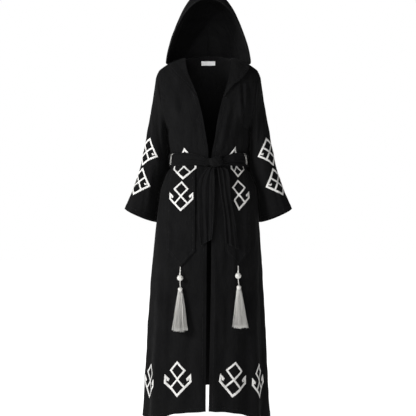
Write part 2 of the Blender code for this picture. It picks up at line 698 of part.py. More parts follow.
def make_pockets():
    """Each pocket panel: the front's points from under the sash to a pointed end, moved out."""
    share = np.array(POCKET_SHARES)[None, :]
    for pocket in POCKETS:
        slope = 1 - np.abs(2 * share - 1)
        bottom = POCKET_CORNER + (pocket["tip_z"] - POCKET_CORNER) * slope
        straight = BODY_HEIGHTS[(BODY_HEIGHTS < POCKET_TOP) & (BODY_HEIGHTS > POCKET_LAST_ROW)][:, None]
        pointed = POCKET_LAST_ROW + (bottom - POCKET_LAST_ROW) * np.array([[0.0], [0.5], [1.0]])
        height = np.concatenate([straight + 0.0 * share, pointed])
        widen = ease((POCKET_TOP - height) / POCKET_WIDEN)
        side_a = pocket["top"][0] + (pocket["low"][0] - pocket["top"][0]) * widen
        side_b = pocket["top"][1] + (pocket["low"][1] - pocket["top"][1]) * widen
        x = side_a + (side_b - side_a) * share
        base = body_point(height, turn_at(x, height))
        normal = outward(base)
        inner = base + normal * (POCKET_CLEAR + POCKET_LIFT * widen)[..., None]
        add_wall("pocket_" + pocket["name"], inner + normal * POCKET_CLOTH, inner, MUSLIN)


def make_tails():
    """The sash's two ends hang from the knot, gathered there and waved across their width."""
    tails = (("right", TAIL_RIGHT, TAIL_SLANT_RIGHT), ("left", TAIL_LEFT, TAIL_SLANT_LEFT))
    for name, table, slant in tails:
        share = np.linspace(0.0, 1.0, TAIL_ACROSS)[None, :]
        level = np.linspace(table[0, 0], table[-1, 0], TAIL_ROWS)[:, None]
        read = {key: column(table, TAIL_COLUMNS, key, "height", level) for key in TAIL_COLUMNS}
        x = read["side_a"] + (read["side_b"] - read["side_a"]) * share
        low = ease((table[0, 0] - level) / (table[0, 0] - table[-1, 0]))
        height = level + slant * low * (share - 0.5)
        off = read["off"] + read["wave"] * np.cos(2 * math.pi * TAIL_WAVES * share)
        base = body_point(height, turn_at(x, height))
        normal = outward(base)
        inner = base + normal * off[..., None]
        add_wall("belt_tail_" + name, inner + normal * BELT_CLOTH, inner, MUSLIN)


def make_knot():
    """The knot: a lump with three slanting wraps, as an oval whose radius swells and sinks."""
    polar = np.linspace(0.0, math.pi, KNOT_ROWS + 2)[1:-1, None]
    angle = np.arange(KNOT_SIDES)[None, :] * 2 * math.pi / KNOT_SIDES
    radius = (1 + KNOT_SWELL * np.cos(KNOT_WRAPS * (angle + polar))) * np.sin(polar) ** KNOT_BLUNT
    x = KNOT_CENTRE[0] + KNOT_HALF[0] * radius * np.cos(angle)
    y = KNOT_CENTRE[1] + KNOT_HALF[1] * radius * np.sin(angle)
    z = KNOT_CENTRE[2] + KNOT_HALF[2] * np.cos(polar) + 0.0 * angle
    ring = np.stack([x, y, z], axis=-1)
    count = KNOT_ROWS * KNOT_SIDES
    index = np.arange(count).reshape(-1, KNOT_SIDES)
    index = np.concatenate([index, index[:, :1]], axis=1)
    parts = [quads(index)]
    for row, tip in ((0, count), (-1, count + 1)):
        edge = index[row]
        fan = np.stack([edge[:-1], edge[1:], np.full(KNOT_SIDES, tip)], axis=-1)
        parts.append(fan if row else fan[:, ::-1])
    centre = np.array(KNOT_CENTRE)
    tall = np.array([0.0, 0.0, KNOT_HALF[2]])
    points = np.concatenate([ring.reshape(-1, 3), [centre + tall], [centre - tall]])
    add_body("belt_knot", points, np.concatenate(parts), MUSLIN)


def make_belt_loops():
    """Thread loops at the side seams that the sash runs through."""
    q = np.linspace(0.0, 1.0, LOOP_POINTS)
    height = LOOP_ENDS[0] + (LOOP_ENDS[1] - LOOP_ENDS[0]) * q
    turn = LOOP_TURNS[0] + (LOOP_TURNS[1] - LOOP_TURNS[0]) * q ** 2
    for name, side in (("right", -1), ("left", 1)):
        spread = body_point(height[:, None], side * (turn[:, None] + np.array([[-1.0, 0.0, 1.0]])))
        normal = outward(spread)[:, 1]
        off = LOOP_FOOT + (LOOP_OFF - LOOP_FOOT) * np.sin(math.pi * q) ** LOOP_BLUNT
        path = spread[:, 1] + normal * off[:, None]
        add_tube("belt_loop_" + name, path, np.full(LOOP_POINTS, LOOP_RADIUS), LOOP_SIDES, SILK)


def make_label():
    """A plain tape label on the inner side of the back, under the neck seam."""
    level = np.array([[LABEL_TOP_Z], [LABEL_BOTTOM_Z]])
    x = np.linspace(-LABEL_HALF, LABEL_HALF, LABEL_ACROSS)[None, :]
    seam = seam_height(x, True)
    height = (level - seam) / (1 - seam / ARMPIT)
    turn = 180.0 - turn_at(x, height)
    turn = (turn + 180.0) % 360.0 - 180.0
    base = body_point(height, turn)
    normal = outward(base)
    near = base - normal * (CLOTH + LABEL_CLEAR)
    add_wall("label", near, near - normal * LABEL_CLOTH, LABEL_TAPE)


def pocket_tip(pocket):
    """Middle of the cloth at a pocket's point, from a small patch of the front around it."""
    step = 0.002
    height = pocket["tip_z"] + np.array([[step], [0.0]])
    x = sum(pocket["low"]) / 2 + np.array([[-step, 0.0, step]])
    base = body_point(height, turn_at(x, height))
    return (base + outward(base) * (POCKET_CLEAR + POCKET_LIFT + POCKET_CLOTH / 2))[1, 1]


def ball_profile(centre, radius, rows):
    """Path and radii of a ball, from just below its top to just above its underside."""
    polar = np.linspace(BEAD_POLE, math.pi - BEAD_POLE, rows)
    path = np.array(centre) + np.stack([0 * polar, 0 * polar, radius * np.cos(polar)], axis=-1)
    return path, radius * np.sin(polar)


def make_skirt(name, top, bottom, ring_z):
    """The tassel's bound head with its locks. The head's underside is a round grid of cells, and each
    cell is drawn out into a lock with four sides, so that all roots are part of the head."""
    around = LOCKS_AROUND
    angle = np.arange(around) * 2 * math.pi / around
    circle = np.stack([np.cos(angle), np.sin(angle)], axis=-1)
    points, triangles = [], []

    def add(block):
        start = len(points)
        points.extend(block)
        return np.arange(start, start + len(block))

    def ring(radius, z, centre):
        flat = circle * radius
        return np.stack([centre[0] + flat[:, 0], centre[1] + flat[:, 1], np.full(around, z)], axis=-1)

    rings = [add(ring(radius, ring_z - fall, top)) for radius, fall in HEAD_PROFILE]
    cap = add([np.array([top[0], top[1], ring_z + HEAD_CAP])])[0]
    head_end = ring_z - HEAD_PROFILE[-1][1]
    radii = np.linspace(HEAD_PROFILE[-1][0], LOCK_CORE, LOCK_RINGS + 1)[1:]
    under = [rings[-1]] + [add(ring(radius, head_end, top)) for radius in radii]
    hub = add([np.array([top[0], top[1], head_end])])[0]
    for k in range(around):
        n = (k + 1) % around
        triangles.append((rings[0][k], rings[0][n], cap))
        triangles.append((under[-1][n], under[-1][k], hub))
    for one, other in zip(rings[:-1], rings[1:]):
        for k in range(around):
            n = (k + 1) % around
            triangles.append((one[k], other[k], other[n]))
            triangles.append((one[k], other[n], one[n]))
    spread = np.array([SKIRT_HALF_WIDTH, SKIRT_HALF_DEPTH, 0.0]) / HEAD_PROFILE[-1][0]
    for level, (outside, inside) in enumerate(zip(under[:-1], under[1:])):
        for k in range(around):
            n = (k + 1) % around
            cell = [outside[k], outside[n], inside[n], inside[k]]
            corners = np.array([points[i] for i in cell])
            middle = corners.mean(axis=0)
            root = middle + (corners - middle) * LOCK_FILL
            low = (root - top) * spread + bottom
            low[:, 2] += LOCK_STAGGER * ((k * 5 + level * 3) % 4) / 3
            start = add(root)
            end = add(low)
            for i in range(LOCK_SIDES):
                j = (i + 1) % LOCK_SIDES
                triangles.append((cell[i], cell[j], start[j]))
                triangles.append((cell[i], start[j], start[i]))
                triangles.append((start[i], start[j], end[j]))
                triangles.append((start[i], end[j], end[i]))
            triangles.append((end[0], end[1], end[2]))
            triangles.append((end[0], end[2], end[3]))
    add_body(name, points, triangles, SILK)


def make_tassels():
    """A tassel hangs clear of the skirt from each pocket's point: cord, bead, thin cord, skirt."""
    up = np.array([0.0, 0.0, 1.0])
    forward = np.array([0.0, -1.0, 0.0])
    for tassel in TASSELS:
        side = tassel["name"]
        tip = pocket_tip(POCKETS[tassel["pocket"]])
        bead = np.array([tip[0] - BEAD_ASIDE, tip[1] - BEAD_OFF, tassel["bead_z"]])
        head = np.array([tip[0] + tassel["lean"] * HEAD_LEAN, tip[1] - HEAD_OFF, tassel["head_z"]])
        end = np.array([tip[0] + tassel["lean"], tip[1] - SKIRT_OFF, tassel["end_z"]])
        top = tip - up * CORD_TOP_GAP
        low = bead + up * (BEAD_RADIUS + BEAD_TOP_GAP)
        q = np.linspace(0.0, 1.0, CORD_POINTS)[:, None]
        path = top + (low - top) * q + forward * CORD_BEND * np.sin(math.pi * q)
        radii = np.linspace(CORD_TOP_RADIUS, CORD_RADIUS, CORD_POINTS)
        add_tube("tassel_cord_" + side, path, radii, CORD_SIDES, SILK)
        path, radii = ball_profile(bead, BEAD_RADIUS, BEAD_ROWS)
        add_tube("tassel_bead_" + side, path, radii, BEAD_SIDES, SILK)
        top = bead - up * (BEAD_RADIUS + BEAD_LOW_GAP)
        low = head + up * HEAD_GAP
        path = top + (low - top) * np.linspace(0.0, 1.0, THIN_CORD_POINTS)[:, None]
        radii = np.full(THIN_CORD_POINTS, THIN_CORD_RADIUS)
        add_tube("tassel_thin_cord_" + side, path, radii, THIN_CORD_SIDES, SILK)
        make_skirt("tassel_skirt_" + side, head, end, tassel["head_z"])


def main():
    clear_scene()
    make_body()
    make_sleeves()
    make_hood()
    make_lapels()
    make_belt_band()
    make_knot()
    make_tails()
    make_pockets()
    make_belt_loops()
    make_label()
    make_tassels()


main()
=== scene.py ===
# %% [markdown]
# # A hooded muslin kaftan, dressed for its picture
#
# The construction model holds each piece of cloth as a stiff wall, the right size and in the right place.
# This notebook makes the same garment as it looks: thin crinkled cloth that hangs in folds, satin stitch
# embroidery, a tied sash, thread loops and silky tassels.
#
# Metres throughout, +Z up. The front faces -Y and the wearer's left is +X. The origin is the middle of the
# line between the two shoulder seams, where the wearer's shoulders hold the garment.

# %% Load the construction model
import math

import bpy
import numpy as np
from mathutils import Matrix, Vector


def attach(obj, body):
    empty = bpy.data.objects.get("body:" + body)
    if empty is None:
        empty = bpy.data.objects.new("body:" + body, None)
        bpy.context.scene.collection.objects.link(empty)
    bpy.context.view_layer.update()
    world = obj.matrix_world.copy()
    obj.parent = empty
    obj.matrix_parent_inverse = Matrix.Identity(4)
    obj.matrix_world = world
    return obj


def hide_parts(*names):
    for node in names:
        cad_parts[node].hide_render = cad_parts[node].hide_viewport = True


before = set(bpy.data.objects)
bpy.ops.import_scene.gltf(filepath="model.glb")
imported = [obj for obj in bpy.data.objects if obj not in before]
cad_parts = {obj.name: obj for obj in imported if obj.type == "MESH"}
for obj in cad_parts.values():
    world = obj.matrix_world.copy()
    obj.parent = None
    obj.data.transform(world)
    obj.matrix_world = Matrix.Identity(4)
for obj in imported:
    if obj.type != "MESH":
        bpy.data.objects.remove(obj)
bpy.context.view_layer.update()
print("pieces in the construction model:", len(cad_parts))

# %% [markdown]
# ## The camera
#
# The photograph looks level at the middle of the skirt from straight ahead, from far enough away that the
# sides hardly draw together. A lens is chosen by the half width it sees at the garment: 0.832 m from 2.9 m.

# %% Camera
EYE = Vector((-0.0012, -2.900, -0.568))
HALF_VIEW = 0.832
SENSOR = 36.0

camera_data = bpy.data.cameras.new("camera")
camera_data.sensor_width = SENSOR
camera_data.lens = SENSOR / 2 * -EYE.y / HALF_VIEW
camera = bpy.data.objects.new("camera", camera_data)
camera.location = EYE
camera.rotation_euler = (math.pi / 2, 0.0, 0.0)
bpy.context.scene.collection.objects.link(camera)
bpy.context.scene.camera = camera
print("lens in millimetres:", round(camera_data.lens, 1))

# %% [markdown]
# ## Curves through short tables
#
# A pattern cutter notes a garment's width at a few heights and draws one smooth line through the marks.
# `smooth` is that line: a cubic between each two marks, which never swings past them. `read` does it for
# every column of a table at once.

# %% Smooth curves
def smooth(xs, ys, x):
    """A curve through the points (xs, ys) that never overshoots them: cubic pieces, each slope the
    harmonic mean of the slopes beside it, or zero at a turning point."""
    order = np.argsort(xs)
    xs = np.asarray(xs, float)[order]
    ys = np.asarray(ys, float)[order]
    secant = np.diff(ys) / np.diff(xs)
    slope = np.zeros_like(ys)
    before, after = secant[:-1], secant[1:]
    same = before * after > 0
    slope[1:-1][same] = 2 * before[same] * after[same] / (before[same] + after[same])
    slope[0], slope[-1] = secant[0], secant[-1]
    x = np.clip(x, xs[0], xs[-1])
    i = np.clip(np.searchsorted(xs, x) - 1, 0, len(xs) - 2)
    width = xs[i + 1] - xs[i]
    q = (x - xs[i]) / width
    return (
        ys[i] * (1 + 2 * q) * (1 - q) ** 2 + ys[i + 1] * q * q * (3 - 2 * q)
        + width * (slope[i] * q * (1 - q) ** 2 - slope[i + 1] * q * q * (1 - q))
    )


def read(columns, table, at):
    """Every column of a table as a smooth curve over its first column, by name."""
    return {name: smooth(table[:, 0], table[:, k], at) for k, name in enumerate(columns)}


def ease(q):
    """0 to 1 with level ends: 3q^2 - 2q^3."""
    q = np.clip(q, 0.0, 1.0)
    return q * q * (3 - 2 * q)


def both(one, other):
    """Two numbers or arrays as float arrays of one shape."""
    return np.broadcast_arrays(np.asarray(one, float), np.asarray(other, float))


def walk(points, axis=0):
    """Distance walked from the start of a line of points, or along one axis of a grid of points."""
    steps = np.linalg.norm(np.diff(points, axis=axis), axis=-1)
    start = np.zeros_like(np.take(steps, [0], axis=axis))
    return np.cumsum(np.concatenate([start, steps], axis=axis), axis=axis)


print("halfway up a smooth step:", ease(0.5))

# %% [markdown]
# ## The body's form
#
# A worn kaftan is a stack of rounded sections. A point on it is named by its height and by its turn round
# the body: 0 degrees in front, 90 at the wearer's left side, 180 behind. Above the armpit the section
# narrows to the shoulder seam, and the armhole cuts a round piece out of each side. These are the
# construction model's own tables, so the thin cloth lies where the stiff wall was.

# %% Sections of the body
ARMPIT = -0.262
HEM = -1.330
HEM_DROP_START = -0.900
HEM_DROP_CURVE = 1.5
ROUNDNESS = 2.3
SHOULDER_ROLL = 2.6
ARMHOLE_DEPTH = 0.76
ARMHOLE_FLOOR = 0.45
NECK_HALF = 0.090
NECK_HEIGHT = 0.028
SHOULDER_RUN = 0.108
SHOULDER_FALL = 0.050
SHOULDER_CURVE = 1.8
BACK_NECK_RISE = 0.047
BACK_NECK_SCOOP = 0.080
FOLD_FADE = 8.0
BELT_TOP = -0.3530
BELT_BOTTOM = -0.4045

BODY_COLUMNS = ("height", "right", "left", "front", "back")
BODY = np.array([
    (0.000, 0.198, 0.198, 0.112, 0.112),
    (-0.070, 0.191, 0.191, 0.114, 0.114),
    (-0.140, 0.183, 0.183, 0.118, 0.116),
    (-0.200, 0.174, 0.174, 0.120, 0.116),
    (-0.262, 0.164, 0.166, 0.114, 0.113),
    (-0.320, 0.157, 0.160, 0.106, 0.104),
    (-0.342, 0.151, 0.154, 0.101, 0.100),
    (-0.408, 0.150, 0.153, 0.101, 0.101),
    (-0.436, 0.167, 0.169, 0.117, 0.118),
    (-0.500, 0.190, 0.194, 0.130, 0.138),
    (-0.632, 0.207, 0.203, 0.141, 0.152),
    (-0.800, 0.224, 0.214, 0.150, 0.160),
    (-1.000, 0.237, 0.225, 0.160, 0.168),
    (-1.150, 0.246, 0.232, 0.168, 0.174),
    (-1.330, 0.257, 0.243, 0.181, 0.181),
])
EDGE_COLUMNS = ("height", "right", "left")
FRONT_EDGE = np.array([
    (0.000, -0.090, 0.090),
    (-0.028, -0.087, 0.089),
    (-0.058, -0.080, 0.085),
    (-0.115, -0.056, 0.069),
    (-0.160, -0.038, 0.054),
    (-0.233, -0.019, 0.035),
    (-0.306, -0.006, 0.024),
    (-0.354, 0.001, 0.014),
    (-0.408, -0.001, 0.011),
    (-0.690, -0.005, 0.011),
    (-1.330, -0.0095, 0.0010),
])
HEM_DROP = np.array([
    (0.0, 0.000),
    (25.0, 0.014),
    (45.0, 0.042),
    (70.0, 0.056),
    (90.0, 0.056),
    (130.0, 0.030),
    (180.0, -0.010),
])


def rise_share(height):
    """0 at the armpit and below it, 1 at the shoulder seam."""
    return np.clip(1 - height / ARMPIT, 0.0, 1.0)


def armhole_share(height):
    """How far the armhole opens to front and back, as a share of the body's depth there: a quarter
    circle from the armpit up, then level."""
    share = np.clip(rise_share(height) / ARMHOLE_FLOOR, 0.0, 1.0)
    return ARMHOLE_DEPTH * np.sqrt(1 - (1 - share) ** 2)


def side_turn(height):
    """Turn where the front or back panel ends: the side seam, and above it the armhole."""
    return np.degrees(np.arccos(armhole_share(height) ** (ROUNDNESS / 2)))


def half_width(height, side):
    """Half width of the section on one side. Above the armpit it is wider than the cloth, so that the
    armhole cuts it where the cloth is as wide as the table says."""
    body = read(BODY_COLUMNS, BODY, height)
    cut = (1 - armhole_share(height) ** ROUNDNESS) ** (1 / ROUNDNESS)
    return np.where(np.asarray(side) < 0, body["right"], body["left"]) / cut


def turn_at(x, height):
    """Turn of the front's point that lies at x: sin(turn) = (x / half width) ^ (roundness / 2)."""
    x = np.asarray(x, float)
    share = np.clip(np.abs(x) / half_width(height, x), 0.0, 1.0)
    return np.sign(x) * np.degrees(np.arcsin(share ** (ROUNDNESS / 2)))


def wrapped(turn):
    """The same turn between -180 and 180 degrees."""
    return (turn + 180.0) % 360.0 - 180.0


def turn_behind(x, height):
    """Turn of the back's point that lies at x."""
    return wrapped(180.0 - turn_at(x, height))


def seam_height(x, back):
    """Height of the shoulder seam, and of the back neck between the two shoulders."""
    run = np.clip((np.abs(x) - NECK_HALF) / SHOULDER_RUN, 0.0, 1.0)
    dome = np.clip(1 - (x / NECK_HALF) ** 2, 0.0, 1.0)
    return NECK_HEIGHT - SHOULDER_FALL * run ** SHOULDER_CURVE + np.where(back, BACK_NECK_RISE * dome, 0.0)


print("turn of the side seam at the hem:", side_turn(HEM), "at the chest:", side_turn(ARMPIT / 2).round(1))

# %% [markdown]
# ## The large folds
#
# Gauze gathered at the waist falls in deep folds that widen towards the hem. Each is a row here: its turn
# at the top and at the hem, where it starts and ends, its width in degrees and how far it stands out or
# sinks in. A fold that ends above the hem swells and dies away; one that reaches the hem stays open. A cloth
# simulation makes folds too, but not where the photograph shows them, as a row for each fold can.

# %% Large folds
FOLD_COLUMNS = ("turn_top", "turn_low", "top", "low", "width", "push", "open_end")
FOLDS = np.array([
    (-8.0, -7.0, -0.45, -1.33, 6.0, 0.006, 1.0),
    (-22.0, -20.0, -0.50, -1.33, 6.5, 0.004, 1.0),
    (-36.0, -34.0, -0.45, -1.33, 7.0, -0.008, 1.0),
    (-50.0, -49.0, -0.43, -1.33, 9.0, 0.009, 1.0),
    (-66.0, -67.0, -0.60, -1.33, 8.0, -0.006, 1.0),
    (-80.0, -81.0, -0.55, -1.33, 8.0, 0.005, 1.0),
    (9.0, 4.0, -0.45, -1.33, 5.0, 0.005, 1.0),
    (17.0, 13.0, -0.50, -1.33, 6.0, -0.006, 1.0),
    (27.0, 23.0, -0.45, -1.33, 7.0, 0.006, 1.0),
    (38.0, 34.0, -0.43, -1.33, 7.0, -0.008, 1.0),
    (52.0, 45.0, -0.45, -1.33, 8.0, 0.009, 1.0),
    (68.0, 58.0, -0.60, -1.33, 7.0, -0.008, 1.0),
    (80.0, 75.0, -0.55, -1.33, 8.0, 0.005, 1.0),
    (-152.0, -150.0, -0.46, -1.33, 8.0, 0.009, 1.0),
    (-169.0, -166.0, -0.50, -1.33, 8.0, -0.008, 1.0),
    (-128.0, -130.0, -0.48, -1.33, 9.0, -0.007, 1.0),
    (-110.0, -112.0, -0.55, -1.33, 8.0, 0.007, 1.0),
    (179.0, 176.0, -0.45, -1.33, 7.0, 0.007, 1.0),
    (158.0, 160.0, -0.52, -1.33, 8.0, -0.007, 1.0),
    (140.0, 143.0, -0.46, -1.33, 8.0, 0.010, 1.0),
    (124.0, 126.0, -0.56, -1.33, 8.0, -0.007, 1.0),
    (108.0, 109.0, -0.50, -1.33, 8.0, 0.007, 1.0),
    (-33.0, -21.0, -0.10, -0.34, 6.0, 0.004, 0.0),
    (-28.0, -40.0, -0.16, -0.34, 6.0, 0.003, 0.0),
    (28.0, 34.0, -0.05, -0.34, 5.5, 0.005, 0.0),
    (37.0, 47.0, -0.08, -0.34, 5.5, -0.004, 0.0),
    (16.0, 22.0, -0.16, -0.34, 5.5, 0.004, 0.0),
    (165.0, 170.0, -0.10, -0.34, 8.0, 0.005, 0.0),
    (-160.0, -164.0, -0.12, -0.34, 8.0, 0.005, 0.0),
    (142.0, 138.0, -0.14, -0.34, 7.0, -0.004, 0.0),
    (-140.0, -136.0, -0.12, -0.34, 7.0, -0.004, 0.0),
])

# %% The body's surface
TINY = 1e-12


def fold_push(height, turn):
    """Sum of the folds: push * exp(-(turn off the fold's line / width)^2), growing along the line."""
    push = np.zeros_like(height)
    for row in FOLDS:
        fold = dict(zip(FOLD_COLUMNS, row))
        inside = np.clip((fold["top"] - height) / (fold["top"] - fold["low"]), 0.0, 1.0)
        strength = ease(inside) if fold["open_end"] else np.sin(math.pi * inside) ** 2
        centre = fold["turn_top"] + (fold["turn_low"] - fold["turn_top"]) * inside
        off = wrapped(turn - centre)
        push += fold["push"] * strength * np.exp(-(off / fold["width"]) ** 2)
    edge = np.clip((side_turn(height) - np.abs(turn)) / FOLD_FADE, 0.0, 1.0)
    back_edge = np.clip((np.abs(turn) - 180.0 + side_turn(height)) / FOLD_FADE, 0.0, 1.0)
    return push * np.where(rise_share(height) > 0, ease(np.maximum(edge, back_edge)), 1.0)


def body_point(height, turn):
    """Point on the body: x = half width * sin(turn)^p and y = -depth * cos(turn)^p, p = 2 / roundness,
    both grown by the folds. The depth shrinks to nothing at the shoulder seam, as a rounded square."""
    height, turn = both(np.minimum(height, 0.0), turn)
    power = 2 / ROUNDNESS
    back = np.abs(turn) > 90.0
    rise = rise_share(height)
    roll = (1 - rise ** SHOULDER_ROLL) ** (1 / SHOULDER_ROLL)
    body = read(BODY_COLUMNS, BODY, height)
    depth = np.where(back, body["back"], body["front"]) * roll
    sine, cosine = np.sin(np.radians(turn)), np.cos(np.radians(turn))
    push = fold_push(height, turn)
    x = (half_width(height, turn) + push) * np.sign(sine) * np.abs(sine) ** power
    y = -(depth + push) * np.sign(cosine) * np.abs(cosine) ** power
    low = np.clip((HEM_DROP_START - height) / (HEM_DROP_START - HEM), 0.0, 1.0) ** HEM_DROP_CURVE
    drop = smooth(HEM_DROP[:, 0], HEM_DROP[:, 1], np.abs(turn)) * low
    z = height + seam_height(x, back) * rise - drop
    return np.stack([x, y, z], axis=-1)


def surface_frame(surface, a, b, step_a, step_b):
    """Points of surface(a, b) with their unit normals: the cross product of the two directions in which
    the surface runs, each found from a small step to either side."""
    run_a = surface(a + step_a, b) - surface(a - step_a, b)
    run_b = surface(a, b + step_b) - surface(a, b - step_b)
    normal = np.cross(run_b, run_a)
    length = np.linalg.norm(normal, axis=-1, keepdims=True)
    return surface(a, b), normal / np.maximum(length, TINY)


print("large folds:", len(FOLDS), "front of the hem at y =", body_point(HEM, 0.0)[1].round(3))

# %% [markdown]
# ## The small creases
#
# Between the large folds, real gauze has dozens of soft creases, no two alike. A crease runs along a line
# from its top to its low end, and bows to one side. Its two flanks have different widths, because a fold
# leans: one side is steep and the other is a long slope. The pull of the sash draws short puckers
# together above and below it, which a small seeded table lays out unevenly.

# %% Creases
CREASE_COLUMNS = ("x_top", "z_top", "x_low", "z_low", "minus_flank", "plus_flank", "push", "bow")
PUCKER_REACH = (0.45, 1.0)
PUCKER_SWAY = (-0.012, 0.012)
PUCKER_FLANK = (0.0030, 0.0062)
PUCKER_PUSH = (0.0009, 0.0021)
PUCKER_BOW = (-0.004, 0.004)


def crease_push(x, z, table):
    """Sum of the creases: push * sin(pi q)^0.7 * exp(-(d / flank)^2), with q the share of the way down
    the crease and d the distance from its bowed line."""
    push = np.zeros_like(x)
    for row in table:
        crease = dict(zip(CREASE_COLUMNS, row))
        run_x = crease["x_low"] - crease["x_top"]
        run_z = crease["z_low"] - crease["z_top"]
        length = math.hypot(run_x, run_z)
        q = ((x - crease["x_top"]) * run_x + (z - crease["z_top"]) * run_z) / length ** 2
        lift = np.sin(math.pi * np.clip(q, 0.0, 1.0))
        off = ((z - crease["z_top"]) * run_x - (x - crease["x_top"]) * run_z) / length
        off = off - crease["bow"] * lift
        flank = np.where(off < 0, crease["minus_flank"], crease["plus_flank"])
        push += crease["push"] * lift ** 0.7 * np.exp(-(off / flank) ** 2)
    return push


def puckers(count, x_from, x_to, z_from, length, lean, seed):
    """A row of short creases that spring from the sash: spacing, length, lean and depth all vary."""
    draw = np.random.default_rng(seed)
    x = np.linspace(x_from, x_to, count) + draw.uniform(-0.5, 0.5, count) * (x_to - x_from) / count
    reach = length * draw.uniform(*PUCKER_REACH, count)
    x_low = x + lean * x + draw.uniform(*PUCKER_SWAY, count)
    flanks = draw.uniform(*PUCKER_FLANK, (2, count))
    push = draw.uniform(*PUCKER_PUSH, count) * np.where(np.arange(count) % 3 == 2, -1.0, 1.0)
    bow = draw.uniform(*PUCKER_BOW, count)
    return np.column_stack([x, np.full(count, z_from), x_low, z_from + reach, *flanks, push, bow])


# %% Creases of the fronts
FRONT_CREASES = np.vstack([
    np.array([
        # the wearer's right chest: a smooth panel, drawn towards the knot
        (-0.082, -0.190, -0.040, -0.352, 0.016, 0.009, 0.0026, 0.006),
        (-0.050, -0.190, -0.018, -0.356, 0.012, 0.007, 0.0022, 0.004),
        (-0.112, -0.150, -0.082, -0.352, 0.020, 0.012, -0.0020, -0.006),
        (-0.136, -0.120, -0.126, -0.352, 0.010, 0.014, 0.0026, 0.006),
        (-0.104, -0.030, -0.124, -0.250, 0.016, 0.022, 0.0016, -0.010),
        (-0.152, -0.235, -0.140, -0.356, 0.008, 0.008, -0.0028, 0.004),
        # the wearer's left chest: upright folds by the armhole, slanting ones from the knot
        (0.118, -0.060, 0.126, -0.352, 0.008, 0.009, 0.0042, 0.004),
        (0.133, -0.070, 0.135, -0.352, 0.005, 0.006, -0.0044, 0.002),
        (0.146, -0.060, 0.147, -0.352, 0.005, 0.007, 0.0042, -0.003),
        (0.160, -0.080, 0.158, -0.352, 0.005, 0.006, -0.0034, 0.002),
        (0.086, -0.170, 0.046, -0.356, 0.008, 0.013, 0.0034, -0.005),
        (0.100, -0.180, 0.068, -0.356, 0.007, 0.010, -0.0028, -0.004),
        (0.066, -0.200, 0.032, -0.356, 0.006, 0.008, -0.0022, -0.003),
        (0.110, -0.200, 0.090, -0.356, 0.007, 0.010, 0.0024, 0.004),
        # the skirt, wearer's right
        (-0.150, -0.408, -0.196, -0.720, 0.008, 0.016, 0.0042, -0.016),
        (-0.176, -0.520, -0.206, -1.420, 0.014, 0.020, -0.0030, 0.010),
        (-0.140, -0.560, -0.160, -1.420, 0.012, 0.009, 0.0026, -0.012),
        (-0.028, -0.640, -0.036, -1.420, 0.016, 0.010, 0.0028, 0.008),
        (-0.058, -0.800, -0.068, -1.420, 0.012, 0.018, -0.0022, -0.010),
        (-0.100, -0.780, -0.118, -1.420, 0.012, 0.016, 0.0018, 0.008),
        (-0.186, -0.760, -0.224, -1.420, 0.010, 0.014, 0.0026, 0.006),
        # the skirt, wearer's left
        (0.020, -0.640, 0.018, -1.420, 0.005, 0.009, 0.0030, 0.003),
        (0.058, -0.640, 0.064, -1.420, 0.010, 0.014, 0.0026, -0.006),
        (0.108, -0.460, 0.104, -0.860, 0.006, 0.010, -0.0036, 0.005),
        (0.140, -0.520, 0.136, -0.840, 0.010, 0.012, 0.0034, 0.004),
        (0.130, -0.840, 0.150, -1.420, 0.014, 0.012, -0.0024, 0.010),
        (0.092, -0.900, 0.100, -1.420, 0.014, 0.010, 0.0022, -0.006),
        (0.172, -0.480, 0.196, -1.420, 0.012, 0.010, 0.0030, 0.012),
        (0.190, -0.620, 0.216, -1.420, 0.008, 0.010, -0.0028, 0.004),
    ]),
    puckers(9, -0.145, -0.020, -0.408, -0.085, 0.10, 3),
    puckers(9, 0.024, 0.146, -0.408, -0.085, 0.10, 4),
    puckers(8, -0.142, -0.016, -0.350, 0.060, 0.02, 5),
    puckers(8, 0.026, 0.142, -0.350, 0.060, 0.02, 6),
])
print("creases in front:", len(FRONT_CREASES))

# %% Creases of the back
BACK_CREASES = np.vstack([
    np.array([
        (-0.120, -0.060, -0.080, -0.350, 0.016, 0.010, 0.0026, 0.008),
        (-0.078, -0.050, -0.048, -0.350, 0.010, 0.016, -0.0024, 0.006),
        (-0.030, -0.030, -0.020, -0.350, 0.014, 0.010, 0.0024, -0.004),
        (0.022, -0.040, 0.024, -0.350, 0.010, 0.014, -0.0020, 0.006),
        (0.066, -0.060, 0.052, -0.350, 0.014, 0.010, 0.0028, -0.006),
        (0.116, -0.050, 0.092, -0.350, 0.010, 0.014, 0.0024, -0.010),
        (-0.142, -0.160, -0.132, -0.350, 0.010, 0.008, -0.0028, 0.004),
        (0.144, -0.160, 0.130, -0.350, 0.008, 0.010, -0.0028, -0.004),
        (-0.160, -0.440, -0.196, -1.420, 0.012, 0.016, 0.0028, -0.012),
        (-0.118, -0.520, -0.140, -1.420, 0.012, 0.010, -0.0026, 0.010),
        (-0.082, -0.460, -0.096, -1.420, 0.010, 0.016, 0.0030, 0.006),
        (-0.038, -0.600, -0.046, -1.420, 0.014, 0.010, -0.0022, -0.008),
        (0.010, -0.520, 0.012, -1.420, 0.010, 0.012, 0.0026, 0.008),
        (0.056, -0.470, 0.062, -1.420, 0.012, 0.010, -0.0030, -0.006),
        (0.098, -0.560, 0.116, -1.420, 0.010, 0.014, 0.0028, 0.008),
        (0.146, -0.460, 0.172, -1.420, 0.014, 0.010, -0.0026, 0.010),
        (0.182, -0.620, 0.212, -1.420, 0.010, 0.012, 0.0024, -0.006),
        (-0.196, -0.620, -0.226, -1.420, 0.010, 0.012, -0.0024, 0.006),
    ]),
    puckers(20, -0.146, 0.146, -0.408, -0.095, 0.10, 7),
    puckers(19, -0.142, 0.142, -0.350, 0.070, 0.02, 8),
])
print("creases behind:", len(BACK_CREASES))

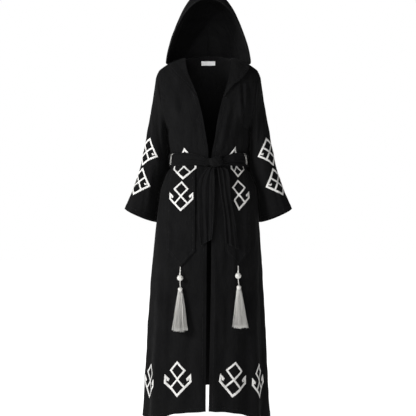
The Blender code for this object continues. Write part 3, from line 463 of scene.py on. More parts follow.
# %% [markdown]
# ## Slow unevenness
#
# Even where no crease runs, gauze is never a clean sheet. A few sine waves that cross at odd angles lift
# and lower it by half a millimetre, over lengths of 30 to 80 mm. They die away at the seams, as the creases
# do.

# %% Unevenness and the cloth's own surface
SIDE_FADE = 7.0
SEAM_FADE = 0.020
HEIGHT_STEP = 0.0015
TURN_STEP = 0.5
BODY_RIPPLE = 1.3
WAVES = np.array([
    # half waves per metre across and along, phase, height
    (31.0, 7.0, 0.3, 0.00045),
    (-22.0, 13.0, 1.9, 0.00040),
    (47.0, -9.0, 4.1, 0.00030),
    (12.0, 26.0, 2.6, 0.00032),
    (64.0, 15.0, 5.2, 0.00020),
    (-39.0, 34.0, 0.8, 0.00018),
])


def ripple(u, v):
    """Sum of sine waves: height * sin(pi (a u + b v) + phase)."""
    total = 0.0
    for across, along, phase, height in WAVES:
        total = total + height * np.sin(math.pi * (across * u + along * v) + phase)
    return total


def over_body(height, turn, off=0.0):
    """Points that lie that far off the body's cloth: body point + normal * (creases + ripple + off)."""
    height, turn = both(height, turn)
    base, normal = surface_frame(body_point, height, turn, HEIGHT_STEP, TURN_STEP)
    x, z = base[..., 0], base[..., 2]
    front = np.abs(turn) < 90.0
    push = np.where(front, crease_push(x, z, FRONT_CREASES), crease_push(x, z, BACK_CREASES))
    push = push + ripple(x * BODY_RIPPLE + base[..., 1], z)
    edge = np.where(front, side_turn(height) - np.abs(turn), np.abs(turn) - 180.0 + side_turn(height))
    push = push * ease(edge / SIDE_FADE) * ease(-height / SEAM_FADE)
    return base + normal * (push + off)[..., None]


print("most that the waves lift the cloth, in mm:", round(1000 * WAVES[:, 3].sum(), 2))

# %% [markdown]
# ## Making a piece
#
# A piece is a grid of points. `grid_mesh` writes it into a mesh with its faces turned to the given side and
# a UV map in metres: u is the distance walked along a row, v the distance walked down. A weave drawn in
# those metres then follows the cloth. Shapes with a round section, such as cords and embroidered bars, are
# lofts: rings of points along a path, closed at both ends. `join_shapes` puts many lofts in one mesh.

# %% Meshes from arrays
def quads(rows, columns, around=False):
    """Corner numbers of each cell of a grid."""
    index = np.arange(rows * columns).reshape(rows, columns)
    if around:
        index = np.concatenate([index, index[:, :1]], axis=1)
    cells = [index[:-1, :-1], index[:-1, 1:], index[1:, 1:], index[1:, :-1]]
    return np.stack(cells, axis=-1).reshape(-1, 4)


def metre_uv(points, middle=0):
    """UV in metres: u along each row, from the column of that number, v down each column."""
    u = walk(points, 1)
    return np.stack([u - u[:, middle:middle + 1], -walk(points, 0)], axis=-1)


def new_object(name, points, faces, corner_uv):
    """A mesh object from points, faces with equal corner counts and one UV for each face corner."""
    mesh = bpy.data.meshes.new(name)
    mesh.vertices.add(len(points))
    mesh.vertices.foreach_set("co", np.asarray(points, np.float32).ravel())
    mesh.loops.add(faces.size)
    mesh.loops.foreach_set("vertex_index", faces.astype(np.int32).ravel())
    mesh.polygons.add(len(faces))
    mesh.polygons.foreach_set("loop_start", np.arange(0, faces.size, faces.shape[1], dtype=np.int32))
    layer = mesh.uv_layers.new(name="metres")
    layer.data.foreach_set("uv", np.asarray(corner_uv, np.float32).ravel())
    mesh.update(calc_edges=True)
    mesh.validate()
    mesh.shade_smooth()
    obj = bpy.data.objects.new(name, mesh)
    bpy.context.scene.collection.objects.link(obj)
    return obj


def grid_mesh(name, points, outside, around=False, middle=0):
    """A sheet of cloth from a grid of points. outside is a grid of directions on its outer side."""
    rows, columns = points.shape[:2]
    walked = np.concatenate([points, points[:, :1]], axis=1) if around else points
    uv = metre_uv(walked, middle).reshape(-1, 2)
    faces = quads(rows, columns, around)
    corners = quads(rows, walked.shape[1])
    flat = points.reshape(-1, 3)
    normal = np.cross(flat[faces[:, 2]] - flat[faces[:, 0]], flat[faces[:, 3]] - flat[faces[:, 1]])
    if np.sum(normal * outside.reshape(-1, 3)[faces].mean(axis=1)) < 0:
        faces = faces[:, ::-1]
        corners = corners[:, ::-1]
    return new_object(name, flat, faces, uv[corners.ravel()])


print("cells of a grid of 3 by 4 points:", len(quads(3, 4)))

# %% Lofts
def loft(rings, along):
    """A closed loft: rings is stations x around x 3. Each end closes to the middle of its ring. Returns
    points, triangles and one UV for each corner: u round the ring, v the distance along."""
    stations, around = rings.shape[:2]
    tips = np.stack([rings[0].mean(axis=0), rings[-1].mean(axis=0)])
    points = np.concatenate([rings.reshape(-1, 3), tips])
    cells = quads(stations, around, around=True)
    sides = np.concatenate([cells[:, [0, 1, 2]], cells[:, [0, 2, 3]]])
    k = np.arange(around)
    n = (k + 1) % around
    first = np.stack([n, k, np.full(around, stations * around)], axis=-1)
    base = (stations - 1) * around
    last = np.stack([base + k, base + n, np.full(around, stations * around + 1)], axis=-1)
    triangles = np.concatenate([sides, first, last])
    u = np.tile(k / around, stations)
    v = np.repeat(np.asarray(along, float), around)
    uv = np.stack([np.append(u, [0.5, 0.5]), np.append(v, [along[0], along[-1]])], axis=-1)
    corner_uv = uv[triangles]
    jump = np.ptp(corner_uv[..., 0], axis=1) > 0.6
    corner_uv[..., 0] += (corner_uv[..., 0] < 0.4) & jump[:, None]
    return points, triangles, corner_uv


def join_shapes(name, shapes):
    """One object from many closed shapes. A shape that came out inside out has its triangles turned, so
    that its volume is positive and its faces point outwards."""
    all_points, all_faces, all_uv, start = [], [], [], 0
    for points, triangles, uv in shapes:
        corner = points[triangles] - points.mean(axis=0)
        if np.sum(corner[:, 0] * np.cross(corner[:, 1], corner[:, 2])) < 0:
            triangles = triangles[:, ::-1]
            uv = uv[:, ::-1]
        all_points.append(points)
        all_faces.append(triangles + start)
        all_uv.append(uv)
        start += len(points)
    uv = np.concatenate(all_uv).reshape(-1, 2)
    return new_object(name, np.concatenate(all_points), np.concatenate(all_faces), uv)


def tube(path, radii, sides, lobes=0, lobe_depth=0.0, twist=0.0, squash=1.0):
    """A loft along a path: radius * (1 + lobe depth * cos(lobes * (angle - twist * distance)))."""
    path = np.asarray(path, float)
    forward = np.gradient(path, axis=0)
    forward /= np.linalg.norm(forward, axis=1, keepdims=True)
    away = np.where(np.abs(forward[:, 1:2]) > 0.9, [[1.0, 0.0, 0.0]], [[0.0, 1.0, 0.0]])
    side = np.cross(forward, away)
    side /= np.linalg.norm(side, axis=1, keepdims=True)
    front = np.cross(side, forward)
    walked = walk(path)
    angle = np.arange(sides)[None, :] * 2 * math.pi / sides
    radius = np.broadcast_to(radii, (len(path),))[:, None]
    radius = radius * (1 + lobe_depth * np.cos(lobes * (angle - twist * walked[:, None])))
    ring = side[:, None] * (radius * np.cos(angle))[..., None]
    ring = ring + front[:, None] * (radius * np.sin(angle) * squash)[..., None]
    return loft(path[:, None] + ring, walked)


print("triangles of a short six-sided cord:", len(tube([(0, 0, 0), (0, 0, 1), (0, 0, 2)], 0.1, 6)[1]))

# %% [markdown]
# ## Shared effects
#
# Gauze has its crinkle and weave; tape, yarn and satin stitch have threads laid side by side. Each effect
# is built once, as a node group with named sockets. A group puts out a height and a tone only; the tone is
# partly random and partly painted shade, darker where the height is low. The shader itself stays in each
# material. All patterns read the pieces' UV maps, which are in metres, so a 5 mm crinkle is 5 mm on every
# piece.

# %% Node groups
def new_group(name, inputs, outputs):
    """An empty node group with float or vector sockets by name, and its two end nodes."""
    group = bpy.data.node_groups.new(name, "ShaderNodeTree")
    for socket, kind, value in inputs:
        made = group.interface.new_socket(socket, in_out="INPUT", socket_type="NodeSocket" + kind)
        if value is not None:
            made.default_value = value
    for socket in outputs:
        group.interface.new_socket(socket, in_out="OUTPUT", socket_type="NodeSocketFloat")
    return group, group.nodes.new("NodeGroupInput"), group.nodes.new("NodeGroupOutput")


def math_node(tree, operation, first, second=None, third=None):
    """A math node with its inputs linked or set, and its output socket."""
    node = tree.nodes.new("ShaderNodeMath")
    node.operation = operation
    for slot, value in enumerate((first, second, third)):
        if value is None:
            continue
        if isinstance(value, (int, float)):
            node.inputs[slot].default_value = value
        else:
            tree.links.new(value, node.inputs[slot])
    return node.outputs[0]


def stretched_noise(tree, vector, scale_across, scale_along, detail, roughness):
    """Noise with a size of its own across and along, in features per metre."""
    mapping = tree.nodes.new("ShaderNodeVectorMath")
    mapping.operation = "MULTIPLY"
    mapping.inputs[1].default_value = (scale_across, scale_along, scale_across)
    tree.links.new(vector, mapping.inputs[0])
    noise = tree.nodes.new("ShaderNodeTexNoise")
    noise.inputs["Scale"].default_value = 1.0
    noise.inputs["Detail"].default_value = detail
    noise.inputs["Roughness"].default_value = roughness
    tree.links.new(mapping.outputs[0], noise.inputs["Vector"])
    return noise.outputs["Fac"]


def make_crinkle_group():
    """Crinkled double gauze. Puckers run with the warp; a slower noise gives calmer and livelier areas;
    the loose weave is two crossed sine waves. The tone is partly random, from the slower noise, and partly
    painted shade: it follows the puckers' height, darker in their hollows and lighter on their crests."""
    group, start, end = new_group(
        "gauze crinkle",
        [("Vector", "Vector", None), ("Crinkle size", "Float", 0.005), ("Weave pitch", "Float", 0.0007)],
        ["Height", "Tone and painted shade"],
    )
    vector = start.outputs["Vector"]
    split = group.nodes.new("ShaderNodeSeparateXYZ")
    group.links.new(vector, split.inputs[0])
    per_metre = math_node(group, "DIVIDE", 1.0, start.outputs["Crinkle size"])
    scaled = group.nodes.new("ShaderNodeVectorMath")
    scaled.operation = "SCALE"
    group.links.new(vector, scaled.inputs[0])
    group.links.new(per_metre, scaled.inputs["Scale"])
    puckers_height = stretched_noise(group, scaled.outputs[0], 1.0, 0.30, 2.5, 0.55)
    calm = stretched_noise(group, scaled.outputs[0], 0.11, 0.05, 1.0, 0.5)
    slow = stretched_noise(group, scaled.outputs[0], 0.30, 0.09, 1.0, 0.5)
    turns = math_node(group, "DIVIDE", 2 * math.pi, start.outputs["Weave pitch"])
    warp = math_node(group, "SINE", math_node(group, "MULTIPLY", split.outputs["X"], turns))
    weft = math_node(group, "SINE", math_node(group, "MULTIPLY", split.outputs["Y"], turns))
    weave = math_node(group, "MULTIPLY", warp, weft)
    lively = math_node(group, "MULTIPLY", puckers_height, math_node(group, "MULTIPLY_ADD", calm, 1.2, 0.4))
    height = math_node(group, "MULTIPLY_ADD", weave, 0.05, lively)
    height = math_node(group, "MULTIPLY_ADD", slow, 0.9, height)
    group.links.new(height, end.inputs["Height"])
    # painted shade: half of the tone is the puckers' own height, so their hollows are coloured darker and
    # their crests lighter; the other half is random tone from the slower noise
    tone = math_node(group, "MULTIPLY_ADD", calm, 0.5, math_node(group, "MULTIPLY", puckers_height, 0.5))
    group.links.new(tone, end.inputs["Tone and painted shade"])
    return group


def make_thread_group():
    """Threads laid side by side: a sine wave across them, bent and thinned by noise. The tone is random,
    from
    the noise, and partly painted shade: it follows the sine, darker in the grooves between the threads.
    """
    group, start, end = new_group(
        "laid threads",
        [("Vector", "Vector", None), ("Thread pitch", "Float", 0.0005), ("Slant", "Float", 0.0)],
        ["Height", "Tone and painted shade"],
    )
    split = group.nodes.new("ShaderNodeSeparateXYZ")
    group.links.new(start.outputs["Vector"], split.inputs[0])
    uneven = stretched_noise(group, start.outputs["Vector"], 300.0, 300.0, 2.0, 0.5)
    along = math_node(group, "MULTIPLY_ADD", split.outputs["X"], start.outputs["Slant"], split.outputs["Y"])
    turns = math_node(group, "DIVIDE", 2 * math.pi, start.outputs["Thread pitch"])
    phase = math_node(group, "MULTIPLY_ADD", uneven, 5.0, math_node(group, "MULTIPLY", along, turns))
    ridges = math_node(group, "SINE", phase)
    group.links.new(math_node(group, "MULTIPLY_ADD", ridges, 0.5, uneven), end.inputs["Height"])
    # painted shade: part of the tone is the ridges' sine, so the grooves between threads are coloured darker
    # than their crowns; the noise adds random tone
    group.links.new(math_node(group, "MULTIPLY_ADD", ridges, 0.12, uneven), end.inputs["Tone and painted shade"])
    return group


CRINKLE = make_crinkle_group()
THREADS = make_thread_group()
print("node groups:", [group.name for group in (CRINKLE, THREADS)])

# %% [markdown]
# ## Finishes
#
# Each material places a group with its own sizes, colours its two tones with a ramp and feeds its height
# to a bump. The black gauze is matt, with a faint bloom of loose fibres, so sheen is set on its shader.

# %% Materials
TONE_RANGE = (0.30, 0.75)


def new_material(name, base, roughness, sheen, specular):
    """A Principled material with its constants on the shader's own sockets."""
    material = bpy.data.materials.new(name)
    material.use_nodes = True
    shader = material.node_tree.nodes["Principled BSDF"]
    shader.inputs["Base Color"].default_value = (*base, 1.0)
    shader.inputs["Roughness"].default_value = roughness
    shader.inputs["Sheen Weight"].default_value = sheen
    shader.inputs["Sheen Roughness"].default_value = 0.45
    shader.inputs["Specular IOR Level"].default_value = specular
    return material, shader


def dress(material, shader, group, sizes, dark, light, distance):
    """Links a group to the shader: its tone through a two colour ramp, its height through a bump."""
    tree = material.node_tree
    uv = tree.nodes.new("ShaderNodeUVMap")
    uv.uv_map = "metres"
    node = tree.nodes.new("ShaderNodeGroup")
    node.node_tree = group
    tree.links.new(uv.outputs["UV"], node.inputs["Vector"])
    for socket, value in sizes.items():
        node.inputs[socket].default_value = value
    ramp = tree.nodes.new("ShaderNodeValToRGB")
    for stop, place, colour in zip(ramp.color_ramp.elements, TONE_RANGE, (dark, light)):
        stop.position = place
        stop.color = (*colour, 1.0)
    # the tone brings painted shade that follows the group's height, as well as random tone, into the base
    # colour
    tree.links.new(node.outputs["Tone and painted shade"], ramp.inputs["Fac"])
    tree.links.new(ramp.outputs["Color"], shader.inputs["Base Color"])
    bump = tree.nodes.new("ShaderNodeBump")
    bump.inputs["Strength"].default_value = 1.0
    bump.inputs["Distance"].default_value = distance
    tree.links.new(node.outputs["Height"], bump.inputs["Height"])
    tree.links.new(bump.outputs["Normal"], shader.inputs["Normal"])
    return material


def gauze_finish(name, dark, light):
    """Matt cotton gauze with crinkles of 5 mm."""
    material, shader = new_material(name, light, 0.92, 0.012, 0.035)
    return dress(material, shader, CRINKLE, {"Crinkle size": 0.0052}, dark, light, 0.0011)


def thread_finish(name, dark, light, pitch, slant, roughness, sheen, distance):
    """Threads of that pitch in metres, slanted by slant, with a bump of that height in metres."""
    material, shader = new_material(name, light, roughness, sheen, 0.40)
    sizes = {"Thread pitch": pitch, "Slant": slant}
    return dress(material, shader, THREADS, sizes, dark, light, distance)


MUSLIN = gauze_finish("black crinkled muslin", (0.0030, 0.0030, 0.0032), (0.0058, 0.0058, 0.0060))
SATIN = thread_finish(
    "white satin stitch", (0.45, 0.445, 0.43), (0.60, 0.59, 0.575),
    pitch=0.0006, slant=0.0, roughness=0.5, sheen=0.1, distance=0.00016)
SILK = thread_finish(
    "pale silky yarn", (0.40, 0.395, 0.372), (0.60, 0.59, 0.565),
    pitch=0.0016, slant=0.004, roughness=0.38, sheen=0.2, distance=0.0002)
TAPE = thread_finish(
    "white label tape", (0.66, 0.66, 0.66), (0.74, 0.74, 0.74),
    pitch=0.0008, slant=0.0, roughness=0.6, sheen=0.0, distance=0.00008)
BLACK_THREAD = thread_finish(
    "black thread", (0.008, 0.008, 0.008), (0.016, 0.016, 0.017),
    pitch=0.0004, slant=0.0, roughness=0.5, sheen=0.0, distance=0.00005)


# %% Finishing a piece
def finish_piece(obj, material, *nodes, thickness=0.0):
    """Gives a piece its material, its wall, its body and the construction pieces that it stands for."""
    obj.data.materials.append(material)
    if thickness:
        wall = obj.modifiers.new("cloth thickness", "SOLIDIFY")
        wall.thickness = thickness
        wall.offset = -1.0
    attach(obj, "root")
    if nodes:
        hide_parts(*nodes)
    print(obj.name, "faces:", len(obj.data.polygons))
    return obj


# %% [markdown]
# ## The fronts and the back
#
# Each panel is one grid. Its rows are close together at the shoulder, where the cloth rolls over, and at
# the belt, where it flares; its columns are close at the edges, where a turned hem stands a little proud.
# The panels meet along the side seams and the shoulder seams, and each sinks a little into the seam. One
# skin all round would be simpler, but panels as a maker cuts them give true seams and an open front.

# %% Panel grids
GAUZE = 0.0011
HEM_FOLD = 0.016
HEM_STAND = 0.0006
HEM_STEP = 0.003
SEAM_SINK = 0.0010
SEAM_HALF = 0.0045
UPPER_ROWS = 54
UPPER_CROWDING = 1.7

PANEL_HEIGHTS = np.concatenate([
    ARMPIT * np.linspace(0.0, 1.0, UPPER_ROWS) ** UPPER_CROWDING,
    np.arange(-0.270, -0.400, -0.0065),
    np.arange(-0.400, -0.450, -0.0040),
    np.arange(-0.450, -1.300, -0.0085),
    np.linspace(-1.302, HEM, 9),
])
EDGE_SHARES = np.array([0.0, 0.004, 0.009, 0.015, 0.024])


def crowded(count):
    """Shares from 0 to 1, close together at both ends."""
    return np.concatenate([EDGE_SHARES, np.linspace(0.036, 0.964, count), 1 - EDGE_SHARES[::-1]])


def hem_stand(distance):
    """A turned hem is double cloth: it stands proud up to its stitching, then steps down."""
    return HEM_STAND * ease((HEM_FOLD + HEM_STEP - distance) / HEM_STEP)


def seam_sink(distance):
    """Cloth dips into a seam: -sink * exp(-(distance / half width)^2)."""
    return -SEAM_SINK * np.exp(-(distance / SEAM_HALF) ** 2)


def row_lengths(points):
    """How long each row of a grid is."""
    return np.linalg.norm(np.diff(points, axis=1), axis=2).sum(axis=1)[:, None]


def front_edge(height, side):
    """x of the front's free edge at a height."""
    return read(EDGE_COLUMNS, FRONT_EDGE, height)["right" if side < 0 else "left"]


def front_panel(side):
    """One front: rows from shoulder to hem, columns from its front edge to the side seam or armhole."""
    height = PANEL_HEIGHTS[:, None]
    near = turn_at(front_edge(PANEL_HEIGHTS, side), PANEL_HEIGHTS)[:, None]
    share = crowded(64)[None, :]
    turn = near + (side * side_turn(height) - near) * share
    width = row_lengths(body_point(height, turn))
    off = hem_stand(share * width) + hem_stand(height - HEM) + seam_sink((1 - share) * width)
    points = over_body(height, turn, off)
    points[0, :, 1] = 0.0
    return points


def back_panel():
    """The back, from side to side. Its top edge dips between the shoulders, for the neck."""
    share = 2 * crowded(130)[None, :] - 1
    reach = side_turn(PANEL_HEIGHTS[:1])
    top = body_point(PANEL_HEIGHTS[:1, None], 180.0 + reach * share)[..., 0]
    dome = np.clip(1 - (top / NECK_HALF) ** 2, 0.0, 1.0)
    rise = rise_share(PANEL_HEIGHTS)[:, None] * (1 - BACK_NECK_SCOOP * dome)
    height = np.where(rise > 0, ARMPIT * (1 - rise), PANEL_HEIGHTS[:, None])
    turn = wrapped(180.0 + side_turn(height) * share)
    width = row_lengths(body_point(height, turn)) / 2
    off = hem_stand(height - HEM) + seam_sink((1 - np.abs(share)) * width)
    points = over_body(height, turn, off)
    shoulder = np.abs(points[0, :, 0]) > NECK_HALF
    points[0, shoulder, 1] = 0.0
    return points


print("rows in each panel:", len(PANEL_HEIGHTS))

# %% A piece of cloth
# the wearer's sides, by the sign of x, and the directions away from the body's upright axis
SIDES = (("right", -1), ("left", 1))
FROM_AXIS = np.array([1.0, 1.0, 0.0])
cloth = {}
grids = {}


def outward(points, outside, around):
    """Unit normals of a grid, on the side that outside points to: down x across."""
    across = np.gradient(points, axis=1)
    if around:
        across = (np.roll(points, -1, axis=1) - np.roll(points, 1, axis=1)) / 2
    normal = np.cross(np.gradient(points, axis=0), across)
    normal /= np.maximum(np.linalg.norm(normal, axis=-1, keepdims=True), TINY)
    return normal * np.sign(np.sum(normal * outside))


def cloth_piece(name, points, outside, *nodes, thickness=GAUZE, around=False, middle=0, tape=False):
    """A sheet of muslin or tape. Its grid, with its outward normals, is kept for the sewing."""
    made = grid_mesh(name + ("_tape" if tape else "_muslin"), points, outside, around, middle)
    cloth[name] = finish_piece(made, TAPE if tape else MUSLIN, *(nodes or [name]), thickness=thickness)
    grids[name] = np.concatenate([points, outward(points, outside, around)], axis=-1)
    if around:
        grids[name] = np.concatenate([grids[name], grids[name][:, :1]], axis=1)


# %% Fronts and back
panels = {name: front_panel(side) for name, side in SIDES}
panels["back"] = back_panel()
for name, side in SIDES:
    cloth_piece("front_" + name, panels[name], panels[name] * FROM_AXIS)
cloth_piece("back", panels["back"], panels["back"] * FROM_AXIS, "back_upper", "back_skirt", middle=70)

# %% [markdown]
# ## The sleeves
#
# A sleeve is a stack of rounded rings between an outer and an inner line. It widens towards the cuff and
# hangs a little lower behind. Its first ring is the armhole itself, so the seam has no gap; the ring's shape
# melts into the sleeve's own over the first few centimetres.

# %% Sleeves
SLEEVE_COLUMNS = ("share", "outer_x", "outer_z", "inner_x", "inner_z", "tuck", "depth")
SLEEVE = np.array([
    (0.00, 0.199, -0.022, 0.167, -0.262, 0.000, 0.088),
    (0.08, 0.208, -0.048, 0.163, -0.279, 0.020, 0.083),
    (0.18, 0.215, -0.095, 0.158, -0.300, 0.040, 0.076),
    (0.30, 0.226, -0.165, 0.153, -0.335, 0.050, 0.067),
    (0.43, 0.240, -0.240, 0.149, -0.375, 0.056, 0.061),
    (0.56, 0.253, -0.315, 0.152, -0.415, 0.058, 0.058),
    (0.69, 0.267, -0.385, 0.172, -0.462, 0.056, 0.057),
    (0.80, 0.285, -0.450, 0.186, -0.515, 0.052, 0.058),
    (0.91, 0.309, -0.512, 0.197, -0.573, 0.048, 0.062),
    (1.00, 0.334, -0.571, 0.203, -0.622, 0.046, 0.067),
])
TUCK_POWER = 4
SLEEVE_CLEAR = 0.006
SLEEVE_CLEAR_RUN = 0.050
SLEEVE_BELT_ROOM = 0.010
BELT_ROOM_RUN = 0.042
BLEND_RADIUS = 0.003
INNER_FADE = 0.12
SLEEVE_BLUNT = 0.9
CUFF_BACK_HANG = 0.014
SLEEVE_JOIN = 0.08
SLEEVE_FADE = 0.06
SLEEVE_LENGTH = 0.60
SHARE_STEP = 0.004
ANGLE_STEP = 0.02
SLEEVE_RIPPLE = 1.5
print("the cuffs reach out to", SLEEVE[-1, 1], "and down to", SLEEVE[-1, 4])

# %% Creases of the sleeves
# columns as before, with x counted away from the body's middle; the first table is the wearer's right
SLEEVE_CREASES = {
    -1: np.array([
        (0.206, -0.110, 0.176, -0.380, 0.006, 0.012, -0.0042, 0.006),
        (0.219, -0.120, 0.204, -0.400, 0.010, 0.008, 0.0024, 0.004),
        (0.232, -0.200, 0.244, -0.420, 0.009, 0.007, -0.0016, -0.004),
        (0.214, -0.360, 0.236, -0.600, 0.012, 0.008, 0.0030, 0.006),
        (0.250, -0.380, 0.290, -0.610, 0.010, 0.014, -0.0024, -0.006),
        (0.228, -0.420, 0.258, -0.615, 0.007, 0.010, -0.0020, 0.004),
        (0.196, -0.300, 0.206, -0.520, 0.006, 0.007, 0.0020, -0.003),
        (0.270, -0.440, 0.312, -0.600, 0.008, 0.010, 0.0022, 0.005),
    ]),
    1: np.array([
        (0.176, -0.070, 0.178, -0.340, 0.004, 0.006, 0.0030, 0.002),
        (0.190, -0.070, 0.192, -0.340, 0.004, 0.006, 0.0030, -0.002),
        (0.183, -0.080, 0.184, -0.330, 0.003, 0.004, -0.0020, 0.000),
        (0.206, -0.110, 0.192, -0.380, 0.007, 0.011, -0.0032, 0.005),
        (0.224, -0.160, 0.214, -0.420, 0.009, 0.008, 0.0022, -0.004),
        (0.220, -0.370, 0.244, -0.600, 0.008, 0.012, 0.0030, -0.006),
        (0.244, -0.360, 0.276, -0.600, 0.009, 0.007, -0.0026, 0.004),
        (0.262, -0.420, 0.306, -0.600, 0.007, 0.011, 0.0024, -0.005),
    ]),
}
SLEEVE_BACK_CREASES = np.array([
    (0.200, -0.090, 0.184, -0.360, 0.008, 0.011, -0.0034, 0.006),
    (0.214, -0.110, 0.206, -0.420, 0.009, 0.007, 0.0026, -0.004),
    (0.228, -0.240, 0.252, -0.560, 0.010, 0.012, -0.0026, 0.005),
    (0.216, -0.400, 0.240, -0.620, 0.008, 0.010, 0.0028, 0.004),
    (0.256, -0.400, 0.296, -0.610, 0.009, 0.011, 0.0024, -0.006),
])
print("creases on each sleeve's front:", [len(SLEEVE_CREASES[side]) for _, side in SIDES])


# %% The sleeve's surface
def armhole_point(side, angle):
    """The armhole's edge at an angle round it: 0 at the shoulder, pi at the armpit, the front first."""
    height = ARMPIT * (1 - np.cos(angle)) / 2
    reach = side_turn(height)
    front = np.sin(angle) >= 0
    points = over_body(height, side * np.where(front, reach, 180.0 - reach), -SEAM_SINK)
    end = np.isclose(np.abs(np.sin(angle)), 0.0, atol=1e-6)
    points[..., 1] = np.where(end, 0.0, points[..., 1])
    return points


def farther(one, other, radius):
    """The larger of two distances, with the corner between them rounded off."""
    return (one + other + np.sqrt((one - other) ** 2 + 4 * radius ** 2)) / 2


def beside_body(side, y, z):
    """Least x at which a sleeve clears the body's side below the armpit, at that depth and height."""
    body = read(BODY_COLUMNS, BODY, z)
    depth = np.where(y < 0, body["front"], body["back"])
    reach = (1 - np.clip(np.abs(y) / depth, 0.0, 1.0) ** ROUNDNESS) ** (1 / ROUNDNESS)
    below = np.clip((ARMPIT - z) / SLEEVE_CLEAR_RUN, 0.0, 1.0)
    belt = ((z - (BELT_TOP + BELT_BOTTOM) / 2) / BELT_ROOM_RUN) ** 4
    room = SLEEVE_CLEAR * below + SLEEVE_BELT_ROOM * np.exp(-belt)
    return np.where(z < ARMPIT, body["right" if side < 0 else "left"] * reach + room, 0.0)


def sleeve_form(side, share, angle):
    """Middle + (outer - middle) * cos(a), and depth * sin(a) forward. The inner line tucks behind the
    body's side, no point comes nearer to the body than beside_body says, and the back hangs lower."""
    row = read(SLEEVE_COLUMNS, SLEEVE, share)
    forward = np.sign(np.sin(angle)) * np.abs(np.sin(angle)) ** SLEEVE_BLUNT
    reach = (1 + np.cos(angle)) / 2
    x = row["inner_x"] + (row["outer_x"] - row["inner_x"]) * reach
    z = row["inner_z"] + (row["outer_z"] - row["inner_z"]) * reach
    y = row["tuck"] * (1 - reach) ** TUCK_POWER - row["depth"] * forward
    x = farther(x, beside_body(side, y, z), BLEND_RADIUS)
    z = z - CUFF_BACK_HANG * np.clip(-forward, 0.0, 1.0) * share ** 2
    return np.stack([side * x, y, z], axis=-1)


def sleeve_point(side, share, angle):
    """The sleeve's form, moved at its top so that its first ring is the armhole."""
    share, angle = both(np.clip(share, 0.0, 1.0), angle)
    join = armhole_point(side, angle) - sleeve_form(side, 0.0 * share, angle)
    melt = 1 - ease(share / SLEEVE_JOIN)
    return sleeve_form(side, share, angle) + join * melt[..., None]


def over_sleeve(side, share, angle, off=0.0):
    """Points that lie that far off the sleeve's cloth, which has creases and ripples of its own."""
    share, angle = both(share, angle)
    base, normal = surface_frame(lambda a, b: sleeve_point(side, a, b), share, angle, SHARE_STEP, ANGLE_STEP)
    normal = normal * side
    x, z = np.abs(base[..., 0]), base[..., 2]
    front = np.clip(np.sin(angle), 0.0, 1.0) ** 0.5
    behind = np.clip(-np.sin(angle), 0.0, 1.0) ** 0.5
    push = crease_push(x, z, SLEEVE_CREASES[side]) * front
    push = push + crease_push(x, z, SLEEVE_BACK_CREASES) * behind
    push = push * ease((1 + np.cos(angle)) / 2 / INNER_FADE)
    push = (push + ripple(base[..., 1] * SLEEVE_RIPPLE + x, z)) * ease(share / SLEEVE_FADE)
    return base + normal * (push + off)[..., None]


print("cuff of the wearer's left, its outer corner:", over_sleeve(1, 1.0, 0.0).round(3))

# %% The two sleeves
sleeve_shares = np.concatenate([
    np.linspace(0.0, 0.10, 14), np.linspace(0.108, 0.955, 84), np.linspace(0.962, 1.0, 10),
])[:, None]
sleeve_angles = np.linspace(0.0, 2 * math.pi, 112, endpoint=False)[None, :]
for name, side in SIDES:
    off = hem_stand((1 - sleeve_shares) * SLEEVE_LENGTH)
    off = off + seam_sink(sleeve_shares * SLEEVE_LENGTH) * (sleeve_shares > 0)
    ring = over_sleeve(side, sleeve_shares, sleeve_angles, off + 0.0 * sleeve_angles)
    cloth_piece("sleeve_" + name, ring, ring - ring.mean(axis=1, keepdims=True), around=True)

# %% [markdown]
# ## The hood
#
# Two halves, sewn along the crown. Each starts on the neck seam, runs out over the shoulder as a soft roll
# and then climbs in an arch to the centre seam. The first column of its grid is the neck's own edge, from
# the front's V round the back, and its first row is the front rim, a turned hem. A hood can also be
# sculpted from a ball, but a grid that begins on the seams leaves no gap at the neck.

# %% Hood
HOOD_COLUMNS = (
    "station", "neck_x", "neck_y", "neck_z", "wide_x", "wide_y", "wide_z", "crown_y", "crown_z", "bow",
)
HOOD = np.array([
    (0.00, 0.0905, -0.0430, 0.0216, 0.165, -0.050, -0.006, -0.062, 0.248, -0.022),
    (0.25, 0.0905, -0.0040, 0.0302, 0.167, -0.022, 0.002, 0.012, 0.310, -0.008),
    (0.50, 0.0800, 0.0340, 0.0346, 0.153, 0.030, 0.012, 0.095, 0.282, 0.006),
    (0.75, 0.0450, 0.0540, 0.0451, 0.098, 0.078, 0.034, 0.146, 0.228, 0.010),
    (1.00, 0.0004, 0.0605, 0.0491, 0.0004, 0.100, 0.050, 0.160, 0.200, 0.012),
])
HOOD_MIDDLE = np.array([0.0, 0.02, 0.12])
HOOD_RISE_POWER = 1.50
HOOD_BASE_DOME = 0.006
HOOD_ROLL_PASSES = 8
HOOD_ROLL_ROWS = 9
HOOD_BASE_ROWS = 14
HOOD_ARCH_ROWS = 60
NECK_FRONT_DROP = -0.0030
NECK_FRONT_POINTS = 16

# creases: station, row, width in stations and rows, push, for the wearer's right and left half
HOOD_CREASES = {
    -1: np.array([
        (0.10, 1.30, 0.05, 0.30, 0.0030),
        (0.30, 1.25, 0.07, 0.35, -0.0035),
        (0.52, 1.40, 0.06, 0.30, 0.0040),
        (0.72, 1.25, 0.06, 0.30, -0.0035),
        (0.20, 1.75, 0.08, 0.12, 0.0020),
    ]),
    1: np.array([
        (0.14, 1.28, 0.05, 0.32, 0.0035),
        (0.26, 1.22, 0.04, 0.28, -0.0030),
        (0.40, 1.32, 0.06, 0.34, 0.0042),
        (0.58, 1.26, 0.06, 0.30, -0.0040),
        (0.78, 1.36, 0.07, 0.30, 0.0034),
        (0.62, 1.45, 0.020, 0.36, 0.0040),
        (0.67, 1.40, 0.016, 0.30, -0.0034),
        (0.72, 1.42, 0.020, 0.34, 0.0036),
        (0.86, 1.38, 0.022, 0.28, -0.0030),
    ]),
}
print("creases on each half of the hood:", [len(HOOD_CREASES[side]) for _, side in SIDES])


